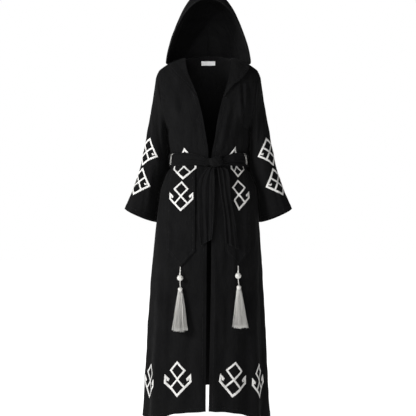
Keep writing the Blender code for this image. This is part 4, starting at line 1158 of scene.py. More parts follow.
# %% The hood's form
def neck_path(side):
    """The edge that the hood is sewn to: up the front's V edge, then round the back of the neck."""
    height = np.linspace(NECK_FRONT_DROP, 0.0, NECK_FRONT_POINTS)
    height = height * (height / height[0]) ** 0.5
    front = over_body(height, turn_at(front_edge(height, side), height))
    back = panels["back"][0]
    back = back[(np.abs(back[:, 0]) <= NECK_HALF) & (back[:, 0] * side >= 0)]
    back = back[np.argsort(-np.abs(back[:, 0]))]
    middle = back[-1] * np.array([0.0, 1.0, 1.0])
    return np.concatenate([front, back, middle[None]])


def along_path(path, share):
    """Points at shares of a path's length."""
    walked = walk(path)
    return np.stack([np.interp(share * walked[-1], walked, path[:, k]) for k in range(3)], axis=-1)


def hood_grid(side, stations, base_rows, arch_rows):
    """x = wide * cos(a) and z = low + (crown - low) * sin(a)^q up the arch; straight along the base.
    The corner between the two is then rounded into a roll by averaging neighbours a few times."""
    row = read(HOOD_COLUMNS, HOOD, stations[:, None])
    base = np.linspace(0.0, 1.0, base_rows, endpoint=False)[None, :]
    low = [row["neck_" + axis] + (row["wide_" + axis] - row["neck_" + axis]) * base for axis in "xyz"]
    low[2] = low[2] + HOOD_BASE_DOME * 4 * base * (1 - base)
    angle = np.linspace(0.0, math.pi / 2, arch_rows)[None, :]
    sine, cosine = np.sin(angle), np.clip(np.cos(angle), 0.0, 1.0)
    x = row["wide_x"] * cosine
    y = row["wide_y"] + (row["crown_y"] - row["wide_y"]) * sine + row["bow"] * np.sin(2 * angle)
    z = row["wide_z"] + (row["crown_z"] - row["wide_z"]) * sine ** HOOD_RISE_POWER
    points = np.stack([np.concatenate(pair, axis=1) for pair in zip(low, (x, y, z))], axis=-1)
    points[..., 0] *= side
    neck = along_path(neck_path(side), stations)
    melt = (1 - ease(np.arange(base_rows + arch_rows) / base_rows))[None, :, None]
    points = points + (neck - points[:, 0])[:, None] * melt
    roll = slice(base_rows - HOOD_ROLL_ROWS, base_rows + HOOD_ROLL_ROWS)
    for _ in range(HOOD_ROLL_PASSES):
        middle = (points[:, :-2] + 2 * points[:, 1:-1] + points[:, 2:]) / 4
        points[:, roll] = middle[:, roll.start - 1:roll.stop - 1]
    points[-1, :, 0] = 0.0
    points[:, -1, 0] = 0.0
    return points


print("length of the neck seam on each side:", [walk(neck_path(side))[-1].round(3) for _, side in SIDES])

# %% The two halves
HOOD_LENGTH = 0.30
HOOD_RIPPLE = 1.4
HOOD_CROWN_FADE = 0.03
HOOD_ROOT_FADE = 0.6
HOOD_BACK_FADE = 0.1
hood_stations = np.concatenate([np.linspace(0.0, 0.08, 9), np.linspace(0.092, 1.0, 64)])
hood_rows = np.concatenate([
    np.linspace(0.0, 1.0, HOOD_BASE_ROWS, endpoint=False),
    np.linspace(1.0, 2.0, HOOD_ARCH_ROWS),
])
hoods = {}
for name, side in SIDES:
    grid = hood_grid(side, hood_stations, HOOD_BASE_ROWS, HOOD_ARCH_ROWS)
    normal = outward(grid, grid - HOOD_MIDDLE, False)
    push = ripple(grid[..., 1] * HOOD_RIPPLE, grid[..., 2])
    for station, height, station_width, row_width, depth in HOOD_CREASES[side]:
        across = ((hood_stations[:, None] - station) / station_width) ** 2
        push = push + depth * np.exp(-across - ((hood_rows[None, :] - height) / row_width) ** 2)
    crown = np.linalg.norm(grid - grid[:, -1:], axis=-1)
    push = push * ease(crown / HOOD_CROWN_FADE) * ease(hood_rows / HOOD_ROOT_FADE)[None, :]
    push = push * ease((1 - hood_stations) / HOOD_BACK_FADE)[:, None]
    push = push + hem_stand(hood_stations[:, None] * HOOD_LENGTH) + seam_sink(crown)
    grid = grid + normal * push[..., None]
    grid[-1, :, 0] = 0.0
    grid[:, -1, 0] = 0.0
    hoods[name] = grid
    cloth_piece("hood_" + name, grid, grid - HOOD_MIDDLE)

# %% [markdown]
# ## The lapels
#
# The hood's front edge turns back on itself and runs down each front as a lapel that tapers out on the V.
# Its first rows come off the hood's front line, so that hood and lapel are one cloth to the eye.

# %% Lapels
LAPEL_COLUMNS = ("height", "right", "left", "lift")
LAPEL = np.array([
    (-0.020, -0.158, 0.161, 0.0060),
    (-0.034, -0.153, 0.157, 0.0060),
    (-0.058, -0.138, 0.145, 0.0060),
    (-0.090, -0.108, 0.122, 0.0065),
    (-0.112, -0.082, 0.094, 0.0055),
    (-0.135, -0.061, 0.074, 0.0040),
    (-0.152, -0.046, 0.062, 0.0030),
])
LAPEL_CURL = 1.5
LAPEL_CLEAR = 0.0023
LAPEL_WAVE = 0.0012
LAPEL_ROWS = 46
LAPEL_POINTS = 30
LAPEL_BRIDGE = 6


def lapel_points(side):
    """The front's points from its V edge outwards, lifted by clear + lift * share^curl and a slow wave
    that dies away at both edges."""
    height = np.linspace(LAPEL[0, 0], LAPEL[-1, 0], LAPEL_ROWS)
    row = read(LAPEL_COLUMNS, LAPEL, height)
    outer = row["right" if side < 0 else "left"][:, None]
    near = front_edge(height, side)[:, None]
    share = np.linspace(0.0, 1.0, LAPEL_POINTS)[None, :]
    x = near + (outer - near) * share
    height = height[:, None] + 0.0 * share
    off = LAPEL_CLEAR + row["lift"][:, None] * share ** LAPEL_CURL
    off = off + LAPEL_WAVE * np.sin(9.0 * share + 40.0 * height) * share * (1 - share)
    return over_body(height, turn_at(x, height), off)


for name, side in SIDES:
    points = lapel_points(side)
    hood_line = along_path(hoods[name][0, :HOOD_BASE_ROWS + 1], np.linspace(0.0, 1.0, points.shape[1]))
    blend = np.linspace(0.0, 1.0, LAPEL_BRIDGE, endpoint=False)[:, None, None]
    bridge = hood_line[None] + (points[:1] - hood_line[None]) * blend
    points = np.concatenate([bridge, points])
    cloth_piece("lapel_" + name, points, points * FROM_AXIS + [0.0, -0.1, 0.0])

# %% [markdown]
# ## The sash
#
# The sash is a long folded strip. Round the waist its wraps lie slantwise over each other and run together
# at the knot, where the band's top edge is drawn down to less than half its height. The knot is a lump of
# turns with two straps drawn over the band, and the two ends hang from it in lengthwise folds. One strip
# could be led through a whole knot, but only its outer turns show, so only those are made.

# %% Sash
BELT_OFF = 0.0062
BELT_CLOTH = 0.0013
KNOT_X = 0.030
KNOT_REACH = (0.060, 0.042)
PINCH = 0.62
PINCH_LIFT = 0.0015
BELT_MIDDLE = -0.376
BELT_EDGE = 0.80
BELT_EDGE_RUN = 0.20
BELT_EDGE_SINK = 0.0016

# wraps: place across the band (-1 low, 1 high), slant, wave, width, push
WRAPS = np.array([
    (0.72, 0.10, 0.09, 0.16, 0.0020),
    (0.38, -0.12, 0.12, 0.13, 0.0026),
    (0.12, 0.16, 0.07, 0.09, -0.0022),
    (-0.16, -0.08, 0.10, 0.15, 0.0026),
    (-0.44, 0.12, 0.08, 0.09, -0.0020),
    (-0.70, -0.06, 0.09, 0.17, 0.0022),
])
belt_turns = np.linspace(-180.0, 180.0, 300, endpoint=False)[None, :]
belt_across = np.linspace(1.0, -1.0, 26)[:, None]
belt_x = body_point(np.array([[BELT_MIDDLE]]), belt_turns)[..., 0]
belt_front = (np.abs(belt_turns) < 90.0) * 1.0
reach = np.where(belt_x < KNOT_X, KNOT_REACH[0], KNOT_REACH[1])
pinch = belt_front * np.exp(-((belt_x - KNOT_X) / reach) ** 2)
belt_height = BELT_BOTTOM + (BELT_TOP - BELT_BOTTOM) * (1 + belt_across) / 2 * (1 - PINCH * pinch)
belt_off = BELT_OFF + PINCH_LIFT * pinch
for place, slant, wave, width, push in WRAPS:
    centre = place + slant * np.sin(np.radians(belt_turns))
    centre = centre + wave * np.sin(np.radians(3 * belt_turns) + 9 * place)
    belt_off = belt_off + push * np.exp(-((belt_across - centre) / width) ** 2)
belt_off = belt_off - BELT_EDGE_SINK * ease((np.abs(belt_across) - BELT_EDGE) / BELT_EDGE_RUN)
points = over_body(belt_height, belt_turns, belt_off)
cloth_piece("belt_band", points, points * FROM_AXIS, thickness=BELT_CLOTH, around=True)

# %% Knot
KNOT_CENTRE = np.array([0.0295, -0.1205, -0.3905])
KNOT_HALF = np.array([0.0255, 0.0135, 0.0190])
KNOT_BLUNT = 0.8
KNOT_POLE = 0.03
KNOT_ROWS = 60
KNOT_SWELL = (0.06, 0.035, 0.025)
STRAP_WAIST = 0.25
STRAP_BLUNT = 0.35
STRAP_WAVE = 0.0010
STRAP_THICK = 0.0024
STRAP_CLEAR = 0.0030


def knot_lump():
    """An oval whose radius swells with slanting turns of the cloth, by
    1 + a cos(3(t + p)) + b cos(8t - 5p) + c cos(13p + 2t), with t round it and p down it."""
    polar = np.linspace(KNOT_POLE, math.pi - KNOT_POLE, KNOT_ROWS)[:, None]
    angle = np.linspace(0.0, 2 * math.pi, 96, endpoint=False)[None, :]
    swell = 1 + KNOT_SWELL[0] * np.cos(3 * (angle + polar)) + KNOT_SWELL[1] * np.cos(8 * angle - 5 * polar)
    swell = swell + KNOT_SWELL[2] * np.cos(13 * polar + 2 * angle)
    radius = swell * np.sin(polar) ** KNOT_BLUNT
    ring = np.stack([radius * np.cos(angle), radius * np.sin(angle), np.cos(polar) + 0.0 * angle], axis=-1)
    return loft(KNOT_CENTRE + ring * KNOT_HALF, np.linspace(0.0, 0.05, KNOT_ROWS))


def knot_strap(x_left, x_right, top, bottom, lift, slant):
    """A strap of folded cloth drawn over the band: a flat oval section, narrower halfway, that lifts off
    the body by lift * sin(pi q)^b between its ends."""
    q = np.linspace(0.0, 1.0, 34)[:, None]
    angle = np.linspace(0.0, 2 * math.pi, 28, endpoint=False)[None, :]
    height = top + (bottom - top) * q
    half = (x_right - x_left) / 2 * (1 - STRAP_WAIST * np.sin(math.pi * q))
    x = (x_left + x_right) / 2 + slant * (q - 0.5) + half * np.cos(angle)
    wave = STRAP_WAVE * np.cos(5 * np.cos(angle) + 3 * q)
    off = lift * np.sin(math.pi * q) ** STRAP_BLUNT + (STRAP_THICK + wave) * np.sin(angle) + STRAP_CLEAR
    return loft(over_body(height + 0.0 * x, turn_at(x, height), off), q[:, 0] * 0.07)


knot = join_shapes("belt_knot_muslin", [
    knot_lump(),
    knot_strap(0.0380, 0.0540, -0.3640, -0.4100, 0.0085, 0.006),
    knot_strap(0.0040, 0.0180, -0.3760, -0.4110, 0.0085, 0.008),
])
finish_piece(knot, MUSLIN, "belt_knot")

# %% Tails
TAIL_COLUMNS = ("height", "side_a", "side_b", "off", "wave")
TAILS = {
    "right": np.array([
        (-0.4164, 0.006, 0.026, 0.0130, 0.0010),
        (-0.4340, -0.018, 0.022, 0.0120, 0.0025),
        (-0.4680, -0.037, 0.024, 0.0095, 0.0030),
        (-0.5030, -0.043, 0.024, 0.0085, 0.0030),
        (-0.6130, -0.039, 0.021, 0.0080, 0.0030),
        (-0.7000, -0.032, 0.014, 0.0080, 0.0030),
    ]),
    "left": np.array([
        (-0.4164, 0.031, 0.054, 0.0130, 0.0010),
        (-0.4340, 0.034, 0.075, 0.0125, 0.0025),
        (-0.5370, 0.047, 0.087, 0.0095, 0.0030),
        (-0.6130, 0.056, 0.100, 0.0085, 0.0030),
        (-0.7150, 0.060, 0.115, 0.0080, 0.0025),
    ]),
}
TAIL_SLANTS = {"right": 0.024, "left": -0.030}
TAIL_WAVE = 0.4
TAIL_WANDER = 1.4
TAIL_FOLD_TOP = 0.55
TAIL_HEM = 0.6

# folds down each tail: place across, wander, width, push
TAIL_FOLDS = {
    "right": np.array([
        (0.14, 0.05, 0.06, 0.0018),
        (0.30, -0.04, 0.05, -0.0020),
        (0.52, 0.06, 0.07, 0.0030),
        (0.66, -0.03, 0.04, -0.0022),
        (0.80, 0.04, 0.06, 0.0026),
    ]),
    "left": np.array([
        (0.12, -0.03, 0.07, 0.0026),
        (0.32, 0.05, 0.05, -0.0024),
        (0.48, -0.04, 0.06, 0.0028),
        (0.64, 0.05, 0.05, -0.0018),
        (0.84, -0.05, 0.07, 0.0022),
    ]),
}


def tail_points(name):
    """A tail's points: off the body by the table's distance, with lengthwise folds that fade in."""
    table = TAILS[name]
    share = crowded(30)[None, :]
    level = np.linspace(table[0, 0], table[-1, 0], 76)[:, None]
    row = read(TAIL_COLUMNS, table, level)
    fall = (table[0, 0] - level) / (table[0, 0] - table[-1, 0])
    x = row["side_a"] + (row["side_b"] - row["side_a"]) * share
    height = level + TAIL_SLANTS[name] * ease(fall) * (share - 0.5)
    off = row["off"] + BELT_CLOTH + TAIL_WAVE * row["wave"] * np.cos(4 * math.pi * share)
    for place, wander, width, push in TAIL_FOLDS[name]:
        centre = place + wander * np.sin(math.pi * fall * TAIL_WANDER + 5 * place)
        deep = TAIL_FOLD_TOP + (1 - TAIL_FOLD_TOP) * fall
        off = off + push * deep * np.exp(-((share - centre) / width) ** 2)
    width = row_lengths(body_point(height, turn_at(x, height)))
    off = off + TAIL_HEM * hem_stand(np.minimum(share, 1 - share) * width)
    return over_body(height, turn_at(x, height), off)


for name in TAILS:
    points = tail_points(name)
    cloth_piece("belt_tail_" + name, points, points * FROM_AXIS + [0.0, -0.2, 0.0], thickness=BELT_CLOTH)

# %% [markdown]
# ## The pocket panels
#
# Each hangs from under the sash, widens a little and ends in a point, with faint creases across where it
# has been folded away. Its points are measured off the front's cloth, not laid out flat, so it takes the
# front's own folds and never sinks into them.

# %% Pockets
POCKETS = {
    "right": {"top": (-0.138, -0.049), "low": (-0.158, -0.050), "tip": -0.792},
    "left": {"top": (0.056, 0.139), "low": (0.064, 0.160), "tip": -0.788},
}
POCKET_TOP = -0.378
POCKET_CORNER = -0.732
POCKET_WIDEN = 0.130
POCKET_OFF = 0.0012
POCKET_LIFT = 0.0037
POCKET_WAVE = 0.0008
POCKET_SIZE = (0.105, 0.40)
# faint creases across: height and push
POCKET_PRESSES = np.array([(-0.632, 0.0011), (-0.660, -0.0010), (-0.688, 0.0012), (-0.724, 0.0009)])
PRESS_SWAY = 0.006
PRESS_WIDTH = 0.005


def pocket_bottom(name, share):
    """Height of the pocket's lower edge: level at its corners, pointed in the middle."""
    return POCKET_CORNER + (POCKETS[name]["tip"] - POCKET_CORNER) * (1 - np.abs(2 * share - 1))


def over_pocket(name, share, fall, off=0.0):
    """Points on a pocket: share runs across it, fall from its top at 0 to its pointed end at 1."""
    share, fall = both(share, fall)
    pocket = POCKETS[name]
    height = POCKET_TOP + (pocket_bottom(name, share) - POCKET_TOP) * fall
    widen = ease((POCKET_TOP - height) / POCKET_WIDEN)
    side_a = pocket["top"][0] + (pocket["low"][0] - pocket["top"][0]) * widen
    side_b = pocket["top"][1] + (pocket["low"][1] - pocket["top"][1]) * widen
    x = side_a + (side_b - side_a) * share
    rest = POCKET_OFF + POCKET_LIFT * widen
    for level, push in POCKET_PRESSES:
        sway = PRESS_SWAY * np.sin(6 * share + 90 * level)
        rest = rest + push * np.exp(-((height - level - sway) / PRESS_WIDTH) ** 2)
    rest = rest + POCKET_WAVE * np.sin(11 * share + 20 * fall) * widen
    return over_body(height, turn_at(x, height), rest + off)


def pocket_hem(share, fall):
    """The hem's stand near the sides and the pointed end."""
    aside = np.minimum(share, 1 - share) * POCKET_SIZE[0]
    below = (1 - fall) * POCKET_SIZE[1]
    return hem_stand(np.minimum(aside, below))


pocket_shares = np.union1d(crowded(44), [0.5])[None, :]
pocket_falls = np.concatenate([np.linspace(0.0, 0.94, 84), np.linspace(0.948, 1.0, 12)])[:, None]
for name in POCKETS:
    points = over_pocket(name, pocket_shares, pocket_falls, pocket_hem(pocket_shares, pocket_falls))
    cloth_piece("pocket_" + name, points, points * FROM_AXIS + [0.0, -0.2, 0.0])

# %% [markdown]
# ## Belt loops and label
#
# A thread loop at each side seam keeps the sash in place. It is a two-ply yarn, so its section has two
# lobes that turn along it. The label is a plain woven tape, bare, sewn inside the back under the neck seam.

# %% Belt loops
LOOP_TURNS = (61.0, 68.5)
LOOP_RADIUS = 0.0007
LOOP_OFF = 0.0104
LOOP_FOOT = 0.0010
LOOP_ENDS = (-0.3530, -0.4015)
LOOP_BLUNT = 0.35
# each strand's step round the body and its lean halfway, in degrees
LOOP_STRANDS = ((0.0, 0.4), (3.8, -0.6))


def belt_loop(side):
    """Two strands from above the sash to below it, a few millimetres apart, that stand off the body by
    foot + (off - foot) * sin(pi q)^b."""
    q = np.linspace(0.0, 1.0, 46)
    height = LOOP_ENDS[0] + (LOOP_ENDS[1] - LOOP_ENDS[0]) * q
    off = LOOP_FOOT + (LOOP_OFF - LOOP_FOOT) * np.sin(math.pi * q) ** LOOP_BLUNT
    strands = []
    for step, lean in LOOP_STRANDS:
        turn = LOOP_TURNS[0] + (LOOP_TURNS[1] - LOOP_TURNS[0]) * q ** 2
        turn = side * (turn + step + lean * np.sin(math.pi * q))
        path = over_body(height, turn, off)
        strands.append(tube(path, LOOP_RADIUS, 10, lobes=2, lobe_depth=0.22, twist=900.0))
    return strands


for name, side in SIDES:
    finish_piece(join_shapes("belt_loop_" + name + "_yarn", belt_loop(side)), SILK, "belt_loop_" + name)

# %% Label
LABEL_HALF = 0.0285
LABEL_TOP = 0.0333
LABEL_BOTTOM = 0.0172
LABEL_OFF = -0.0030
LABEL_CLOTH = 0.0006
label_x = np.linspace(-LABEL_HALF, LABEL_HALF, 40)[None, :]
label_z = np.linspace(LABEL_TOP, LABEL_BOTTOM, 14)[:, None]
label_seam = seam_height(label_x, True)
label_height = (label_z - label_seam) / (1 - label_seam / ARMPIT)
label_points = over_body(label_height, turn_behind(label_x, label_height), LABEL_OFF)
cloth_piece("label", label_points, label_points * -FROM_AXIS, thickness=LABEL_CLOTH, tape=True)

# %% [markdown]
# ## The tassels
#
# A tassel hangs from each pocket's point: a cord, a wound ball, a thin cord, a bound head and a skirt of
# loose strands. The strands fall in locks: neighbours start close together, lean the same way and end at
# slightly different heights. Hair curves would do for a picture, but the finished model keeps meshes only,
# so each strand is a thin tube with three sides.

# %% Tassels
TASSELS = {
    "right": {"bead_z": -0.8323, "head_z": -0.8680, "end_z": -1.0337, "lean": -0.001},
    "left": {"bead_z": -0.8254, "head_z": -0.8610, "end_z": -1.0223, "lean": 0.006},
}
BEAD_RADIUS = 0.0110
BEAD_OFF = 0.0135
BEAD_ASIDE = 0.0010
BEAD_POLE = 0.04
BEAD_SIDES = 66
BEAD_FLUTES = 22
FLUTE_DEPTH = 0.035
CORD_SAG = np.array([0.0, 0.004, 0.0])
CORD_SHARES = (0.0, 0.6, 1.0)
CORD_RADII = (0.0013, 0.0020, 0.0034)
CORD_TWIST = 700.0
STEM_RADIUS = 0.0014
STEM_TWIST = 900.0
HEAD_OFF = 0.0150
HEAD_LEAN = 0.3
SKIRT_OFF = 0.0350
SKIRT_HALF = np.array([0.0300, 0.0170])
HEAD_PROFILE = np.array([
    (0.0000, 0.0018), (0.0015, 0.0060), (0.0040, 0.0084), (0.0080, 0.0086),
    (0.0120, 0.0072), (0.0150, 0.0076), (0.0180, 0.0090),
])
HEAD_WINDING = 0.00025
HEAD_TURNS = 5200.0
STRANDS = 250
STRAND_POINTS = 13
STRAND_RADII = np.linspace(0.00075, 0.00050, STRAND_POINTS)
LOCKS = 22
LOCK_TURN = 2.39996
LOCK_SPREAD = (0.20, 0.09)
LOCK_FALL = 0.008
STRAND_FALL = 0.004
STRAND_SWING = 0.0016
STRAND_WAVE = 4.2
SKIRT_FLARE = 1.08
ROOT_RADIUS = 0.0082


def turned(centre, heights, radii, sides, flutes=0, depth=0.0):
    """A shape turned on an upright axis, with flutes."""
    path = np.array(centre) + np.stack([0 * heights, 0 * heights, heights], axis=-1)
    return tube(path, radii, sides, lobes=flutes, lobe_depth=depth)


def strand_paths(root, end, draw):
    """Paths of all strands, as strands x points x 3. Each runs from its root under the head outwards to
    its place in the skirt's oval foot, with a slow wave. The locks' places step round by the golden angle,
    their distance from the middle grows as a square root, and the strands scatter about them."""
    lock = draw.integers(0, LOCKS, STRANDS)
    lock_angle = np.arange(LOCKS) * LOCK_TURN
    lock_radius = np.sqrt((np.arange(LOCKS) + 0.5) / LOCKS)
    angle = lock_angle[lock] + draw.normal(0.0, LOCK_SPREAD[0], STRANDS)
    radius = np.clip(lock_radius[lock] + draw.normal(0.0, LOCK_SPREAD[1], STRANDS), 0.02, 1.0)
    circle = np.stack([np.cos(angle), np.sin(angle)], axis=-1) * radius[:, None]
    lock_fall = draw.uniform(0.0, LOCK_FALL, LOCKS)
    fall = lock_fall[lock] + draw.uniform(0.0, STRAND_FALL, STRANDS)
    q = np.linspace(0.0, 1.0, STRAND_POINTS)[None, :]
    start = root[None, :2] + circle * ROOT_RADIUS
    foot = end[None, :2] + circle * SKIRT_HALF
    flat = start[:, None] + (foot - start)[:, None] * (q ** SKIRT_FLARE)[..., None]
    swing = draw.uniform(-STRAND_SWING, STRAND_SWING, (STRANDS, 2))
    swing = swing[:, None] * np.sin(q * STRAND_WAVE)[..., None]
    z = root[2] + (end[2] + fall[:, None] - root[2]) * q
    return np.concatenate([flat + swing, z[..., None]], axis=-1)


# %% The two tassels
def hung_piece(kind, name, node, *shapes, ending="_yarn"):
    """One part of a tassel, in pale yarn, that stands for its construction piece."""
    made = join_shapes("tassel_" + kind + "_" + name + ending, shapes)
    finish_piece(made, SILK, "tassel_" + node + "_" + name)


for index, (name, tassel) in enumerate(TASSELS.items()):
    draw = np.random.default_rng(40 + index)
    tip = over_pocket(name, np.array([0.5]), np.array([1.0]), -GAUZE / 2)[0]
    bead = np.array([tip[0] - BEAD_ASIDE, tip[1] - BEAD_OFF, tassel["bead_z"]])
    head = np.array([tip[0] + tassel["lean"] * HEAD_LEAN, tip[1] - HEAD_OFF, tassel["head_z"]])
    end = np.array([tip[0] + tassel["lean"], tip[1] - SKIRT_OFF, tassel["end_z"]])
    q = np.linspace(0.0, 1.0, 26)[:, None]
    low = bead + [0.0, 0.0, BEAD_RADIUS * 0.8]
    cord = tip + (low - tip) * q - CORD_SAG * np.sin(math.pi * q)
    radii = np.interp(q[:, 0], CORD_SHARES, CORD_RADII)
    hung_piece("cord", name, "cord", tube(cord, radii, 12, lobes=2, lobe_depth=0.2, twist=CORD_TWIST))

    polar = np.linspace(BEAD_POLE, math.pi - BEAD_POLE, 30)
    heights, radii = BEAD_RADIUS * np.cos(polar), BEAD_RADIUS * np.sin(polar)
    hung_piece("bead", name, "bead", turned(bead, heights, radii, BEAD_SIDES, BEAD_FLUTES, FLUTE_DEPTH))

    top = bead - [0.0, 0.0, BEAD_RADIUS * 0.9]
    stem = top + (head + [0.0, 0.0, 0.0004] - top) * q
    stem = tube(stem, STEM_RADIUS, 12, lobes=2, lobe_depth=0.2, twist=STEM_TWIST)
    hung_piece("stem", name, "thin_cord", stem)

    falls = np.linspace(0.0, HEAD_PROFILE[-1, 0], 34)
    wound = np.interp(falls, HEAD_PROFILE[:, 0], HEAD_PROFILE[:, 1])
    wound = wound + HEAD_WINDING * np.cos(falls * HEAD_TURNS)
    root = head - [0.0, 0.0, HEAD_PROFILE[-1, 0] * 0.8]
    strands = [tube(path, STRAND_RADII, 3) for path in strand_paths(root, end, draw)]
    hung_piece("skirt", name, "skirt", turned(head, -falls, wound, 40), *strands, ending="_strands")

# %% [markdown]
# ## The embroidery
#
# A hooked diamond is an old flat-weave and embroidery figure. Here it stands in rows at the hem and on the
# pockets, and a quartered diamond runs down each sleeve. Every stroke is a band of satin stitch: domed in
# section, closed below just under the cloth, with mitred corners. Strokes are written in millimetres from
# the figure's crossing, with x across and y up. A `place` lays a figure on the cloth by walking real
# distances along it, so a figure keeps its size where the cloth turns away. A picture of the figures would
# be quicker and lie flat; real bands have a crown and edges that catch the light.

# %% Strokes
HOOKED_DIAMOND = [
    (8.4, [(-40.0, -8.0), (-37.5, -1.5), (-47.5, 10.0), (-48.5, -12.5), (0.0, -64.0),
           (48.5, -12.5), (47.5, 10.0), (37.5, -1.5), (40.0, -8.0)]),
    (7.0, [(28.0, -34.0), (-28.0, 32.0), (0.0, 64.0), (28.0, 32.0), (-28.0, -34.0)]),
]
# the part of a figure that shows under the sash: one lies smooth, the other is drawn together by a fold
UNDER_SASH = [
    (8.4, [(-47.5, 8.0), (-48.5, -12.5), (0.0, -64.0), (48.5, -12.5), (47.5, 8.0)]),
    (7.0, [(28.0, -34.0), (-6.0, 6.0)]),
    (7.0, [(-28.0, -34.0), (6.0, 6.0)]),
]
UNDER_SASH_IN_FOLD = [
    (9.4, [(-34.0, 6.0), (-36.0, -14.0), (0.0, -64.0), (64.0, -16.0), (60.0, 6.0)]),
    (7.6, [(36.0, -37.0), (2.0, 6.0)]),
    (7.6, [(-20.0, -36.0), (6.0, 6.0)]),
]
# the figure with one hook left out, where the sash's end lies over it
ONE_HOOK_DIAMOND = [
    (8.4, [(-22.0, -24.0), (0.0, -64.0), (48.5, -12.5), (47.5, 10.0), (37.5, -1.5), (40.0, -8.0)]),
    (7.0, [(28.0, -34.0), (-28.0, 32.0), (0.0, 64.0), (28.0, 32.0), (-22.0, -24.0)]),
]
QUARTERED_DIAMOND = [
    (7.6, [(0.0, 50.0), (47.5, -2.0), (0.0, -50.0), (-47.5, -2.0), (0.0, 50.0)]),
    (6.4, [(23.75, 24.0), (-23.75, -26.0)]),
    (6.4, [(-23.75, 24.0), (23.75, -26.0)]),
    (5.4, [(38.0, 3.0), (31.0, -2.0), (27.0, 2.0)]),
    (5.4, [(-38.0, 3.0), (-31.0, -2.0), (-27.0, 2.0)]),
]
# the tops of the pockets' upper figures, which show above the sash on the cloth of the fronts
PEAKS = {
    "right": [(7.6, [(-15.0, -24.0), (0.0, 0.0), (22.0, -24.0)])],
    "left": [(7.4, [(-22.8, -31.0), (0.0, 0.0), (7.0, -29.0)])],
}
print("corners in a hooked diamond:", sum(len(corners) for _, corners in HOOKED_DIAMOND))

# %% Satin stitch
CROWN = 0.0009
UNDERSIDE = -0.0005
STATION_STEP = 3.0
LIFT = 0.00008
BAND_END = 0.0015
BAND_BLUNT = 0.15
SECTION = np.array([
    # place across the band from -1 to 1, height as a share of the crown
    (-1.00, 0.25), (-0.80, 0.72), (-0.40, 0.96), (0.00, 1.00), (0.40, 0.96), (0.80, 0.72), (1.00, 0.25),
])


def band_sides(corners, width):
    """Centre line and half-width vector at stations along a stroke, mitred where it turns, and the
    distance walked to each: millimetres, but the distance in metres."""
    corners = np.asarray(corners, float)
    ahead = np.diff(corners, axis=0)
    length = np.linalg.norm(ahead, axis=1)
    ahead /= length[:, None]
    left = np.stack([-ahead[:, 1], ahead[:, 0]], axis=-1)
    mitre = np.concatenate([left[:1], left[:-1] + left[1:], left[-1:]])
    if np.allclose(corners[0], corners[-1]):
        mitre[[0, -1]] = left[0] + left[-1]
    mitre /= np.linalg.norm(mitre, axis=1, keepdims=True)
    beside = np.concatenate([left[:1], left])
    mitre /= np.maximum(np.sum(mitre * beside, axis=1, keepdims=True), 0.5)
    centre, half, walked, start = [], [], [], 0.0
    for k in range(len(ahead)):
        steps = max(2, int(math.ceil(length[k] / STATION_STEP)))
        q = np.linspace(0.0, 1.0, steps + 1)[:, None]
        q = q if k == 0 else q[1:]
        centre.append(corners[k] + (corners[k + 1] - corners[k]) * q)
        half.append((mitre[k] + (mitre[k + 1] - mitre[k]) * q) * width / 2)
        walked.append(start + q[:, 0] * length[k])
        start += length[k]
    return np.concatenate(centre), np.concatenate(half), np.concatenate(walked) / 1000


def satin_band(place, corners, width, lift):
    """One stroke on the cloth, as a closed domed band that rises by LIFT from end to end, so that it can
    cross itself. place(x, y, off) gives points on the cloth."""
    centre, half, walked = band_sides(corners, width)
    across = np.concatenate([SECTION[:, 0], [1.0, -1.0]])
    off = np.concatenate([SECTION[:, 1] * CROWN, [UNDERSIDE, UNDERSIDE]])
    flat = (centre[:, None] + half[:, None] * across[None, :, None]) / 1000
    ends = np.minimum(walked, walked[-1] - walked)[:, None]
    off = np.where(off > 0, off * np.sqrt(np.clip(ends / BAND_END, BAND_BLUNT, 1.0)), off)
    off = off + lift + LIFT * (walked / walked[-1])[:, None]
    return loft(place(flat[..., 0], flat[..., 1], off), walked)


def stitch_figure(strokes, place, size_x=1.0, size_y=1.0):
    """All the strokes of one figure. Where strokes cross, each next one lies a hair higher."""
    bands = []
    for number, (width, corners) in enumerate(strokes):
        corners = np.array(corners) * [size_x, size_y]
        bands.append(satin_band(place, corners, width * (size_x + size_y) / 2, number * LIFT))
    return bands


# %% Places on the cloth
WALK_TURNS = np.linspace(-60.0, 60.0, 481)
WALK_HEIGHTS = np.linspace(-0.10, 0.10, 161)
WALK_SHARES = np.linspace(-0.3, 1.3, 321)
WALK_SLEEVE = np.linspace(-0.22, 0.22, 161)
WALK_ANGLES = np.linspace(-1.6, 2.2, 401)
HEIGHT_STEPS = 8


def turned_by(x, y, tilt, slope=0.0):
    """Turns local coordinates clockwise by tilt degrees, and lifts them by slope * x."""
    c, s = math.cos(math.radians(tilt)), math.sin(math.radians(tilt))
    return x * c + y * s, y * c - x * s + slope * x


def height_of(z, turn):
    """Heights whose points on the body, at those turns, have that z. Found by stepping closer."""
    height = z + 0.0 * np.asarray(turn, float)
    for _ in range(HEIGHT_STEPS):
        height = height - (body_point(height, turn)[..., 2] - z)
    return height


def walked_from(points, values, middle):
    """Distance walked along a line of points, zero where the value along it is middle."""
    walked = walk(points)
    return walked - np.interp(middle, values, walked)


def body_place(z, turn, tilt=0.0, slope=0.0):
    """Local coordinates to the body: x walks round the cloth on the level, y walks up it."""
    turns = turn + WALK_TURNS
    around = wrapped(turns)
    levels = height_of(z, around)
    across = walked_from(over_body(levels, around), turns, turn)
    height = np.interp(turn, turns, levels)
    heights = height + WALK_HEIGHTS
    up = walked_from(over_body(heights, np.full(heights.shape, turn)), heights, height)

    def place(x, y, off):
        x, y = turned_by(x, y, tilt, slope)
        at = np.interp(x, across, turns)
        level = np.interp(x, across, levels) + np.interp(y, up, heights) - height
        return over_body(level, wrapped(at), off)

    return place


